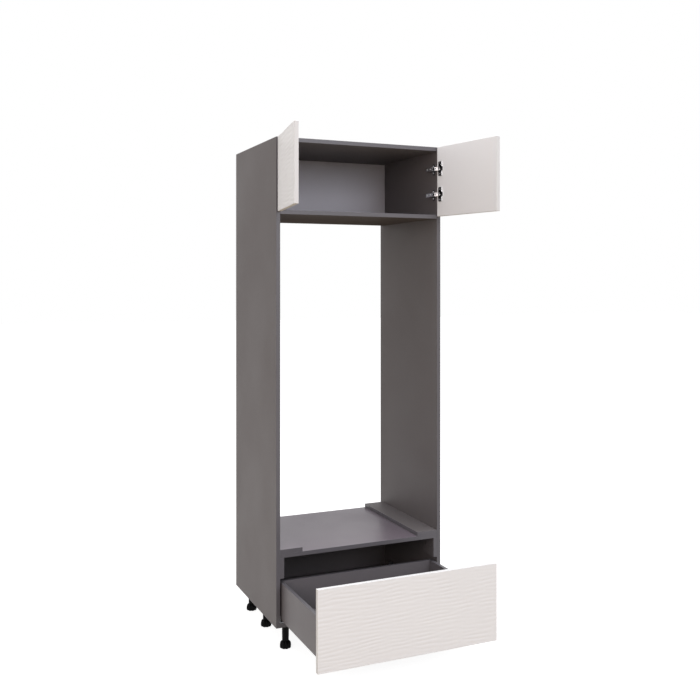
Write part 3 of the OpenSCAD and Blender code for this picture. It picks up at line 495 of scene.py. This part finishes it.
def make_all_materials(boards, fronts, fittings):
    """Every finish: its name, surface group, colour, other values, metal and specular."""
    scuffs = scuff_group()
    melamine, band, chips, foil = board_group(scuffs), band_group(), chip_group(), front_group()
    metal, plastic, wood = metal_group(scuffs), plastic_group(scuffs), wood_group()
    for name, group, color, values, metallic, specular in (
            ("carcass melamine", melamine, boards.carcass_color, {"Roughness": 0.52}, 0.0, 0.2),
            ("shelf melamine", melamine, boards.shelf_color, {"Roughness": 0.36}, 0.0, 0.5),
            ("back melamine", melamine, boards.back_color, {"Roughness": 0.55, "Bump": 0.2}, 0.0, 0.2),
            ("drawer melamine", melamine, boards.drawer_color, {"Pearl Size": 800.0}, 0.0, 0.28),
            ("edge band", band, boards.band_color, {}, 0.0, 0.36),
            ("chipboard", chips, None, {}, 0.0, 0.2),
            ("white foil", foil, fronts.color, {}, 0.0, 0.4),
            ("white edging", foil, fronts.edging_color, {"Peel": 0.12, "Roughness": 0.42}, 0.0, 0.3),
            ("nickel plate", metal, fittings.steel_color, {}, 1.0, 0.5),
            # A lighter copy of the nickel plate: painted highlights on the flange beads, the cup rims and the screws.
            ("satin nickel", metal, (0.90, 0.90, 0.91), {"Roughness": 0.50, "Streaks": 0.3}, 0.9, 0.5),
            ("black nickel", metal, fittings.dark_color, {"Roughness": 0.30}, 0.6, 0.5),
            ("zinc steel", metal, (0.52, 0.53, 0.55), {"Roughness": 0.38, "Streaks": 1.0}, 1.0, 0.5),
            ("black plastic", plastic, fittings.plastic_color, {"Roughness": 0.20, "Dust": 0.002}, 0.0, 0.05),
            ("clip plastic", plastic, fittings.plastic_color, {"Roughness": 0.42, "Dust": 0.01}, 0.0, 0.25),
            ("beech", wood, None, {}, 0.0, 0.3)):
        if color:
            values["Color"] = (*color, 1)
        make_material(name, group, values, metallic, specular)


def finishes():
    """All materials by name, made at the first call."""
    if "carcass melamine" not in bpy.data.materials:
        scene = bpy.context.scene
        make_all_materials(scene.housing_boards, scene.housing_fronts, scene.housing_fittings)
    return bpy.data.materials


# The finish of each of the record's material slots, and the nodes that have another than their slot's
SLOT_FINISH = {
    "carcass_board": "carcass melamine", "back_board": "back melamine", "front_board": "white foil",
    "drawer_board": "drawer melamine", "bright_steel": "nickel plate", "dark_metal": "black nickel",
    "black_plastic": "black plastic", "dowel_wood": "beech",
}
OWN_FINISH = {
    "shelf melamine": ("oven_shelf", "left_batten"),
    # The lower back takes the dark carcass melamine in place of the backs' pale colour: painted shade in the drawer
    # bay.
    "carcass melamine": ("lower_back",),
    # The plate screws take the lighter nickel as a painted highlight.
    "satin nickel": ("plate_screws",),
    "zinc steel": ("left_cabinet_rail", "right_cabinet_rail", "left_middle_rail", "right_middle_rail",
                   "left_drawer_rail", "right_drawer_rail", "wall_brackets"),
    "clip plastic": ("locking_clips", "lower_roller_cages", "upper_roller_cages", "leg_sockets"),
}


def finish_of(node):
    """The name of a CAD node's finish."""
    return next((finish for finish, nodes in OWN_FINISH.items() if node in nodes), SLOT_FINISH[SLOT[node]])


# ---- Modelling helpers ----
# Points nearer than this are one, faces turned less than this are one face, and a point nearer than
# this to a side of a box lies on it
SAME_POINT = 0.002 * MM
SAME_FACE = math.radians(0.5)
ON_SIDE = 0.02 * MM

# A face lies in a groove or bore when its middle is deeper in the board than this share of the edge
# radius. It looks along a direction when its normal has this share that way, and on a front it is
# edging when its normal has less than this share outwards.
IN_BOARD = 0.9
ALONG = 0.99
EDGING = 0.8

# Turns, in degrees, up to which edges are shaded smooth, and above which they are rounded
SMOOTH_METAL = 35
SMOOTH_FRONT = 30
SMOOTH_FOOT = 50
ROUNDED_METAL = 40
ROUNDED_FRONT = 50

# Sides of the round cuts and screw heads, and steps of a rounding
BORE_SIDES = 64
HEAD_SIDES = 40
ROUND_STEPS = 3
FINE_STEPS = 2


def select_only(*objects):
    """Leaves edit mode and selects just these objects, the first of them active."""
    if bpy.context.object and bpy.context.object.mode != "OBJECT":
        bpy.ops.object.mode_set(mode="OBJECT")
    bpy.ops.object.select_all(action="DESELECT")
    for obj in objects:
        obj.select_set(True)
    bpy.context.view_layer.objects.active = objects[0] if objects else None


def edit(piece, kind, test):
    """Enters edit mode with only the vertices, edges or faces selected that pass the test."""
    select_only(piece)
    mesh = piece.data
    bpy.context.tool_settings.mesh_select_mode = (kind == "VERT", kind == "EDGE", kind == "FACE")
    for group in (mesh.vertices, mesh.edges, mesh.polygons):
        group.foreach_set("select", [False] * len(group))
    items = {"VERT": mesh.vertices, "EDGE": mesh.edges, "FACE": mesh.polygons}[kind]
    for item in items:
        if test(item):
            item.select = True
            for vertex in ([item.index] if kind == "VERT" else item.vertices):
                mesh.vertices[vertex].select = True
    bpy.ops.object.mode_set(mode="EDIT")


def add_modifier(piece, kind, **values):
    """Adds a modifier and applies it."""
    select_only(piece)
    bpy.ops.object.modifier_add(type=kind)
    modifier = piece.modifiers[-1]
    for key, value in values.items():
        setattr(modifier, key, value)
    bpy.ops.object.modifier_apply(modifier=modifier.name)


def smooth(piece, angle=SMOOTH_METAL):
    """Smooth shading that keeps flat faces flat."""
    select_only(piece)
    bpy.ops.object.shade_smooth_by_angle(angle=math.radians(angle))
    add_modifier(piece, "WEIGHTED_NORMAL", keep_sharp=True)


def settle(piece, body, slot, *nodes):
    """Puts a finished piece on the body it rides on and hides the CAD nodes it stands for. The slot it takes its
    finish from is not used.
    """
    select_only()
    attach(piece, body)
    if nodes:
        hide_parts(*nodes)


def finish_with(piece, *names):
    """Gives a piece these finishes in place of any that it has."""
    piece.data.materials.clear()
    for name in names:
        piece.data.materials.append(finishes()[name])


def copy_node(node, names):
    """A copy of a CAD node with its triangles merged to plain faces, and with the named finishes."""
    select_only(FRAME["nodes"][node])
    bpy.ops.object.duplicate()
    piece = bpy.context.object
    piece.parent = None
    piece.name = "shaped_" + node
    piece.data.name = piece.name
    for key in [key for key in piece.keys() if key.startswith("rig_")]:
        del piece[key]
    finish_with(piece, *names)
    piece.data.polygons.foreach_set("material_index", [0] * len(piece.data.polygons))
    edit(piece, "VERT", lambda vertex: True)
    bpy.ops.mesh.remove_doubles(threshold=SAME_POINT)
    bpy.ops.mesh.dissolve_limited(angle_limit=SAME_FACE)
    bpy.ops.mesh.customdata_custom_splitnormals_clear()
    bpy.ops.object.mode_set(mode="OBJECT")
    return piece


def planes_of(point, low, high):
    """Which of a box's six sides a point lies on."""
    return {(axis, end) for axis in range(3) for end, corner in enumerate((low, high))
            if abs(point[axis] - corner[axis]) < ON_SIDE}


def shape_board(node, directions, radius):
    """A board with rounded edge bands, its faces marked as melamine, band or raw core."""
    piece = copy_node(node, (finish_of(node), "edge band", "chipboard"))
    low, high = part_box(node)
    thin = min(range(3), key=lambda axis: high[axis] - low[axis])
    mesh = piece.data

    def on_rim(edge):
        first, second = (mesh.vertices[i].co for i in edge.vertices)
        run = max(range(3), key=lambda axis: abs(second[axis] - first[axis]))
        shared = planes_of(first, low, high) & planes_of(second, low, high)
        return "XYZ"[run] in directions and len(shared) >= 2

    edit(piece, "EDGE", on_rim)
    bpy.ops.mesh.bevel(offset=radius, segments=ROUND_STEPS, affect="EDGES", clamp_overlap=True)
    bpy.ops.object.mode_set(mode="OBJECT")
    for face in mesh.polygons:
        near = min(abs(face.center[axis] - corner[axis]) for axis in range(3) for corner in (low, high))
        if near > IN_BOARD * radius:
            face.material_index = 2
        else:
            face.material_index = 0 if abs(face.normal[thin]) > ALONG else 1
    smooth(piece)
    settle(piece, BODY[node], SLOT[node], node)


def shape_metal(node, radius=0):
    """A CAD node's copy with smooth round faces, and rounded edges where a radius is given."""
    piece = copy_node(node, (finish_of(node),))
    if radius:
        add_modifier(piece, "BEVEL", width=radius, segments=FINE_STEPS, limit_method="ANGLE",
                     angle_limit=math.radians(ROUNDED_METAL), use_clamp_overlap=True)
    smooth(piece)
    settle(piece, BODY[node], SLOT[node], node)


def repeat(piece, name, places):
    """Copies of a piece drawn at the origin, one at each place, joined to one object."""
    made = []
    for place in places:
        select_only(piece)
        bpy.ops.object.duplicate()
        made.append(bpy.context.object)
        made[-1].data.transform(place)
    select_only(piece)
    bpy.ops.object.delete()
    select_only(*made)
    bpy.ops.object.join()
    made[0].name = name
    return made[0]


# ---- Fronts ----
def ripple_set(seed):
    """Long wave trains at slightly different pitches and angles: where they meet, waves merge and fade."""
    draw = random.Random(seed)
    return [(math.radians(draw.uniform(*TRAIN_SLANT)), draw.uniform(*TRAIN_PITCH),
             draw.uniform(0, math.tau), draw.uniform(*TRAIN_SHARE)) for _ in range(TRAINS)]


def ripple_height(trains, x, z, pitch, meander):
    """Relief at a place on a front, from 0 in a trough to 1 on a crest."""
    z += meander * sum(share * noise.noise(Vector((x / across, z / up, layer))) for across, up, layer, share in WANDER)
    total = sum(share * math.cos(math.tau / (pitch * stretch) * (x * math.sin(angle) + z * math.cos(angle)) + phase)
                for angle, stretch, phase, share in trains)
    level = max(-1.0, min(1.0, total / FULL_CREST))
    return 1 - ((1 - level) / 2) ** CREST_POWER


def make_front(name, x_range, z_range, bores, place, seed):
    """A front with its outer face in waves, drawn shut with its inner face at y = 0, then put in its place."""
    sizes = bpy.context.scene.housing_fronts
    width, height = x_range[1] - x_range[0], z_range[1] - z_range[0]
    middle = Vector(((x_range[0] + x_range[1]) / 2, -BOARD_T, (z_range[0] + z_range[1]) / 2))
    select_only()
    bpy.ops.mesh.primitive_grid_add(
        x_subdivisions=round(width / WAVE_MESH[0]), y_subdivisions=round(height / WAVE_MESH[1]), size=1,
        location=middle, rotation=(math.radians(90), 0, 0), scale=(1, 1, 1))
    piece = bpy.context.object
    piece.name = name
    piece.scale = (width, height, 1)
    bpy.ops.object.transform_apply(location=True, rotation=True, scale=True)
    trains = ripple_set(seed)
    for vertex in piece.data.vertices:
        crest = ripple_height(trains, vertex.co.x, vertex.co.z, sizes.wave_pitch, sizes.meander)
        vertex.co.y = -BOARD_T + sizes.wave_depth * (1 - crest)
    edges_used = {}
    for face in piece.data.polygons:
        for key in face.edge_keys:
            edges_used[key] = edges_used.get(key, 0) + 1
    rim = {key for key, uses in edges_used.items() if uses == 1}
    edit(piece, "EDGE", lambda edge: edge.key in rim)
    bpy.ops.mesh.extrude_edges_move(TRANSFORM_OT_translate={"value": (0, BOARD_T, 0)})
    bpy.ops.object.mode_set(mode="OBJECT")
    for vertex in piece.data.vertices:
        if vertex.co.y > -BOARD_T / 2:
            vertex.co.y = 0
    edit(piece, "EDGE", lambda edge: all(piece.data.vertices[i].co.y == 0 for i in edge.vertices))
    bpy.ops.mesh.edge_face_add()
    bpy.ops.mesh.select_all(action="SELECT")
    bpy.ops.mesh.normals_make_consistent(inside=False)
    bpy.ops.mesh.select_all(action="DESELECT")
    bpy.ops.mesh.edges_select_sharp(sharpness=math.radians(ROUNDED_FRONT))
    bpy.ops.mesh.bevel(offset=sizes.edge_radius, segments=ROUND_STEPS, affect="EDGES", clamp_overlap=True)
    bpy.ops.object.mode_set(mode="OBJECT")
    for x, z in bores:
        select_only()
        bpy.ops.mesh.primitive_cylinder_add(
            vertices=BORE_SIDES, radius=CUP_R, depth=2 * CUP_DEPTH,
            location=(x, 0, z), rotation=(math.radians(90), 0, 0))
        cutter = bpy.context.object
        add_modifier(piece, "BOOLEAN", operation="DIFFERENCE", object=cutter, solver="EXACT")
        select_only(cutter)
        bpy.ops.object.delete()
    piece.data.transform(place)
    finish_with(piece, "white foil", "white edging")
    outward = place.to_3x3() @ Vector((0, -1, 0))
    piece.data.polygons.foreach_set(
        "material_index", [int(abs(face.normal.dot(outward)) < EDGING) for face in piece.data.polygons])
    smooth(piece, SMOOTH_FRONT)
    return piece


def door_place(side):
    """Where a door's closed drawing goes when the door stands open. side is -1 for left, 1 for right."""
    inner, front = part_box("left_side")[1].x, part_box("left_side")[0].y
    hinge = Vector((-side * (inner + DOOR_EDGE[0]), front - DOOR_EDGE[1], 0))
    return Matrix.Translation(hinge) @ Matrix.Rotation(side * OPEN_ANGLE, 4, "Z")


# ---- Hinge details ----
def hinge_heights():
    """Middle height of each hinge, from the flanges on one door."""
    heights = sorted(vertex.co.z for vertex in FRAME["nodes"]["left_hinge_cups"].data.vertices)
    gap = max(range(1, len(heights)), key=lambda i: heights[i] - heights[i - 1])
    return (heights[0] + heights[gap - 1]) / 2, (heights[gap] + heights[-1]) / 2


def bead_arc(radius, across):
    """The curved part of a bead's side, from its straight part round the cup's rim."""
    start, end = math.acos((across - CUP_INSET) / radius), math.asin(BEAD_FROM / radius)
    angles = [start + (end - start) * i / BEAD_STEPS for i in range(BEAD_STEPS + 1)]
    return [(CUP_INSET + radius * math.cos(angle), radius * math.sin(angle)) for angle in angles]


def bead_outline():
    """Half of a flange's bead from above: straight down the wing, then round the cup's rim, and back."""
    outer, inner = BEAD_S + BEAD_W / 2, BEAD_S - BEAD_W / 2
    return [(outer, BEAD_TO), *bead_arc(BEAD_R + BEAD_W / 2, outer),
            *reversed(bead_arc(BEAD_R - BEAD_W / 2, inner)), (inner, BEAD_TO)]


def make_bead(side, up):
    """The raised bead pressed into one wing of a hinge flange, on a door drawn shut."""
    select_only()
    points = bead_outline()
    bpy.ops.mesh.primitive_circle_add(vertices=len(points), radius=1, fill_type="NGON")
    piece = bpy.context.object
    for vertex, (across, along) in zip(piece.data.vertices, points):
        vertex.co = (-side * across, FLANGE_T, up * along)
    edit(piece, "FACE", lambda face: True)
    bpy.ops.mesh.extrude_region_move(TRANSFORM_OT_translate={"value": (0, BEAD_H, 0)})
    bpy.ops.mesh.bevel(offset=BEAD_ROUND, segments=ROUND_STEPS, affect="EDGES")
    bpy.ops.mesh.select_all(action="SELECT")
    bpy.ops.mesh.normals_make_consistent(inside=False)
    bpy.ops.object.mode_set(mode="OBJECT")
    return piece


def paint_rim_highlights(cups, side):
    """Gives the cup rims' free sides, past the flanges' straight edges, the beads' lighter nickel: a painted
    highlight.
    """
    cups.data.materials.append(finishes()["satin nickel"])
    shut = door_place(side).inverted()
    for face in cups.data.polygons:
        place = shut @ face.center
        if -side * place.x > BEAD_S and place.y > 0:
            face.material_index = 1


def make_arm_screw():
    """A low screw head with a cross recess, standing on z = 0."""
    select_only()
    bpy.ops.mesh.primitive_cylinder_add(
        vertices=HEAD_SIDES, radius=SCREW_R, depth=SCREW_H, location=(0, 0, SCREW_H / 2))
    piece = bpy.context.object
    edit(piece, "FACE", lambda face: face.normal.z > ALONG)
    bpy.ops.mesh.bevel(offset=SCREW_ROUND, segments=ROUND_STEPS, affect="EDGES")
    bpy.ops.object.mode_set(mode="OBJECT")
    for size in ((RECESS_L, RECESS_W), (RECESS_W, RECESS_L)):
        select_only()
        bpy.ops.mesh.primitive_cube_add(size=1, location=(0, 0, SCREW_H))
        cutter = bpy.context.object
        cutter.scale = (*size, 2 * RECESS_D)
        bpy.ops.object.transform_apply(location=True, rotation=True, scale=True)
        add_modifier(piece, "BOOLEAN", operation="DIFFERENCE", object=cutter, solver="EXACT")
        select_only(cutter)
        bpy.ops.object.delete()
    return piece


# ---- Feet ----
def make_foot(node):
    """A levelling foot: rounded lobes to grip, a ribbed neck and a screw stem, turned from one profile."""
    low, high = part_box(node)
    stem_r = FOOT_PROFILE[-1][0]
    profile = FOOT_PROFILE + [(stem_r, high.z - STEM_CHAMFER), (stem_r - STEM_CHAMFER, high.z), (0, high.z)]
    rings = len(profile) - 1
    select_only()
    bpy.ops.mesh.primitive_uv_sphere_add(segments=FOOT_SIDES, ring_count=rings, radius=1)
    piece = bpy.context.object
    piece.name = "lobed_" + node
    for vertex in piece.data.vertices:
        radius, height = profile[round(math.acos(max(-1.0, min(1.0, -vertex.co.z))) / math.pi * rings)]
        angle = math.atan2(vertex.co.y, vertex.co.x)
        if radius > LOBE_FROM_R and height < LOBE_TOP:
            fade = min(1.0, (radius - LOBE_FROM_R) / LOBE_FADE)
            radius -= fade * LOBE_DEPTH * (0.5 - 0.5 * math.cos(LOBES * angle)) ** LOBE_POWER
        elif NECK_Z[0] <= height <= NECK_Z[1] and radius > NECK_CORE_R:
            radius -= RIB_DEPTH * max(0.0, min(1.0, 0.5 + RIB_STEEPNESS * math.cos(NECK_RIBS * angle)))
        vertex.co = (radius * math.cos(angle), radius * math.sin(angle), height)
    piece.data.transform(Matrix.Translation(((low.x + high.x) / 2, (low.y + high.y) / 2, 0)))
    finish_with(piece, finish_of(node))
    smooth(piece, SMOOTH_FOOT)
    return piece


# ---- Operators ----
class HOUSING_OT_stage(bpy.types.Operator):
    """Set the floor, the sky, the lamps and the camera"""
    bl_idname = "housing.stage"
    bl_label = "Stage"

    def execute(self, context):
        scene = context.scene
        sizes = scene.housing_stage
        scene.view_settings.view_transform = "Standard"
        set_world(scene, sizes.sky)
        add_camera(scene)
        select_only()
        bpy.ops.mesh.primitive_plane_add(size=FLOOR_SIZE)
        floor = context.object
        floor.name = "floor"
        floor.data.materials.append(floor_material())
        for name, place, size, color in LAMPS:
            add_lamp(name, place, size, getattr(sizes, name), color)
        return {"FINISHED"}


class HOUSING_OT_boards(bpy.types.Operator):
    """Round the carcass and drawer boards' edges and give them their bands and cores"""
    bl_idname = "housing.boards"
    bl_label = "Boards"

    def execute(self, context):
        radius = context.scene.housing_boards.edge_radius
        for node, directions in BOARD_EDGES.items():
            shape_board(node, directions, radius)
        return {"FINISHED"}


class HOUSING_OT_fronts(bpy.types.Operator):
    """Model the two doors and the drawer front with their pressed waves"""
    bl_idname = "housing.fronts"
    bl_label = "Fronts"

    def execute(self, context):
        seed = context.scene.housing_fronts.seed
        low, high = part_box("drawer_front")
        piece = make_front("wavy_drawer_front", (low.x, high.x), (low.z, high.z), (),
                           Matrix.Translation((0, high.y, 0)), seed)
        settle(piece, "drawer", "front_board", "drawer_front")
        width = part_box("drawer_front")[1].x - REVEAL
        for side, word in ((-1, "left"), (1, "right")):
            node = word + "_door"
            low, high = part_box(node)
            x_range = (0, width) if side < 0 else (-width, 0)
            piece = make_front("wavy_" + node, x_range, (low.z, high.z),
                               [(-side * CUP_INSET, z) for z in hinge_heights()], door_place(side),
                               seed + DOOR_PATTERN + side)
            settle(piece, node, "front_board", node)
        return {"FINISHED"}


class HOUSING_OT_hinges(bpy.types.Operator):
    """Round the hinges' sheet metal, and add the flanges' stamped beads and the adjusting screws"""
    bl_idname = "housing.hinges"
    bl_label = "Hinges"

    def execute(self, context):
        radius = context.scene.housing_fittings.edge_radius
        for node in SMOOTH_NODES["hinges"]:
            shape_metal(node, radius)
        for side, word in ((-1, "left"), (1, "right")):
            paint_rim_highlights(bpy.data.objects["shaped_" + word + "_hinge_cups"], side)
            places = [door_place(side) @ Matrix.Translation((0, 0, z)) for z in hinge_heights()]
            halves = [repeat(make_bead(side, up), "bead", places) for up in (-1, 1)]
            select_only(*halves)
            bpy.ops.object.join()
            beads = halves[0]
            beads.name = word + "_flange_beads"
            # The beads take the lighter nickel: a painted highlight.
            finish_with(beads, "satin nickel")
            smooth(beads)
            settle(beads, word + "_door", "bright_steel")
        face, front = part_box("left_side")[1].x + ARM_IN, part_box("left_side")[0].y
        places = [
            Matrix.Translation((-side * face, front + back, z)) @ Matrix.Rotation(-side * math.radians(90), 4, "Y")
            for side in (-1, 1) for z in hinge_heights() for back in ARM_SCREW_YS]
        screws = repeat(make_arm_screw(), "arm_adjusting_screws", places)
        # The adjusting screws take the lighter nickel: a painted highlight.
        finish_with(screws, "satin nickel")
        smooth(screws)
        settle(screws, "case", "bright_steel")
        return {"FINISHED"}


class HOUSING_OT_screws(bpy.types.Operator):
    """Smooth the screws, pins and cam locks"""
    bl_idname = "housing.screws"
    bl_label = "Screws and pins"

    def execute(self, context):
        for node in SMOOTH_NODES["screws"]:
            shape_metal(node)
        return {"FINISHED"}


class HOUSING_OT_runners(bpy.types.Operator):
    """Smooth the drawer runners, clips and brackets"""
    bl_idname = "housing.runners"
    bl_label = "Runners"

    def execute(self, context):
        for node in SMOOTH_NODES["runners"]:
            shape_metal(node)
        return {"FINISHED"}


class HOUSING_OT_legs(bpy.types.Operator):
    """Smooth the legs, their sockets and their feet"""
    bl_idname = "housing.legs"
    bl_label = "Legs"

    def execute(self, context):
        for node in SMOOTH_NODES["legs"]:
            shape_metal(node)
        for node in FEET:
            settle(make_foot(node), BODY[node], SLOT[node], node)
        return {"FINISHED"}


class HOUSING_OT_fittings(bpy.types.Operator):
    """Give every part that keeps its drawn shape its finish"""
    bl_idname = "housing.fittings"
    bl_label = "Other parts"

    def execute(self, context):
        for node, obj in FRAME["nodes"].items():
            finish_with(obj, finish_of(node))
        return {"FINISHED"}


# ---- Stage ----
def floor_material():
    """Pale floor: near white where the camera or a mirror sees it, and a warm tone in what it throws back."""
    material = bpy.data.materials.new("pale floor")
    material.use_nodes = True
    material.node_tree.nodes.clear()
    s = Shader(material.node_tree)
    glow = s.node("ShaderNodeEmission", {"Color": WHITE, "Strength": FLOOR_GLOW})
    lit = s.node("ShaderNodeBsdfDiffuse", {"Color": FLOOR_COLOR})
    seen = s.node("ShaderNodeAddShader", {0: glow.outputs[0], 1: lit.outputs[0]})
    thrown = s.node("ShaderNodeBsdfDiffuse", {"Color": FLOOR_THROWN})
    mix = s.node("ShaderNodeMixShader", {0: seen_by_eye(s), 1: thrown.outputs[0], 2: seen.outputs[0]})
    s.node("ShaderNodeOutputMaterial", {"Surface": mix.outputs[0]})
    return material


def seen_by_eye(s):
    """1 for rays from the camera, mirrors and glass."""
    rays = s.node("ShaderNodeLightPath").outputs
    seen = s.math("MAXIMUM", rays["Is Camera Ray"], rays["Is Glossy Ray"])
    return s.math("MAXIMUM", seen, rays["Is Transmission Ray"])


def set_world(scene, strength):
    """White where it is seen, and an even soft light elsewhere."""
    world = bpy.data.worlds.new("studio")
    scene.world = world
    world.use_nodes = True
    world.node_tree.nodes.clear()
    s = Shader(world.node_tree)
    soft = s.node("ShaderNodeBackground", {"Color": WHITE, "Strength": strength})
    white = s.node("ShaderNodeBackground", {"Color": WHITE, "Strength": 1.0})
    mix = s.node("ShaderNodeMixShader", {0: seen_by_eye(s), 1: soft.outputs[0], 2: white.outputs[0]})
    s.node("ShaderNodeOutputWorld", {"Surface": mix.outputs[0]})


def add_lamp(name, place, size, power, color):
    """A square lamp that points at the middle of the object."""
    data = bpy.data.lights.new(name, "AREA")
    data.shape = "RECTANGLE"
    data.size = data.size_y = size
    data.energy = power
    data.color = color
    lamp = bpy.data.objects.new(name, data)
    bpy.context.scene.collection.objects.link(lamp)
    lamp.location = place
    lamp.rotation_euler = (Vector(LAMP_AIM) - Vector(place)).to_track_quat("-Z", "Y").to_euler()


def add_camera(scene):
    """The camera at the photograph's viewing angle."""
    data = bpy.data.cameras.new("camera")
    data.sensor_width = CAMERA_SENSOR
    data.lens = CAMERA_LENS
    data.shift_y = CAMERA_SHIFT
    data.clip_end = 50.0
    camera = bpy.data.objects.new("camera", data)
    scene.collection.objects.link(camera)
    camera.location = CAMERA_PLACE
    camera.rotation_euler = CAMERA_TURN
    scene.camera = camera


# ---- Sidebar ----
GROUPS = (("housing_stage", HousingStage), ("housing_boards", HousingBoards),
          ("housing_fronts", HousingFronts), ("housing_fittings", HousingFittings))
STEPS = (HOUSING_OT_stage, HOUSING_OT_fittings, HOUSING_OT_boards, HOUSING_OT_fronts,
         HOUSING_OT_hinges, HOUSING_OT_screws, HOUSING_OT_runners, HOUSING_OT_legs)


class HOUSING_PT_panel(bpy.types.Panel):
    """Sizes, colours and steps of the oven housing"""
    bl_idname = "HOUSING_PT_panel"
    bl_label = "Oven housing"
    bl_space_type = "VIEW_3D"
    bl_region_type = "UI"
    bl_category = "Housing"

    def draw(self, context):
        for attribute, group in GROUPS:
            box = self.layout.box()
            for name in group.__annotations__:
                box.prop(getattr(context.scene, attribute), name)
        for step in STEPS:
            self.layout.operator(step.bl_idname)


def register():
    for attribute, group in GROUPS:
        bpy.utils.register_class(group)
        setattr(bpy.types.Scene, attribute, PointerProperty(type=group))
    for kind in (*STEPS, HOUSING_PT_panel):
        bpy.utils.register_class(kind)


def unregister():
    for kind in reversed((*STEPS, HOUSING_PT_panel)):
        bpy.utils.unregister_class(kind)
    for attribute, group in reversed(GROUPS):
        delattr(bpy.types.Scene, attribute)
        bpy.utils.unregister_class(group)


def main():
    register()
    for step in STEPS:
        getattr(bpy.ops.housing, step.bl_idname.split(".")[1])()
    select_only()


if __name__ == "__main__":
    main()
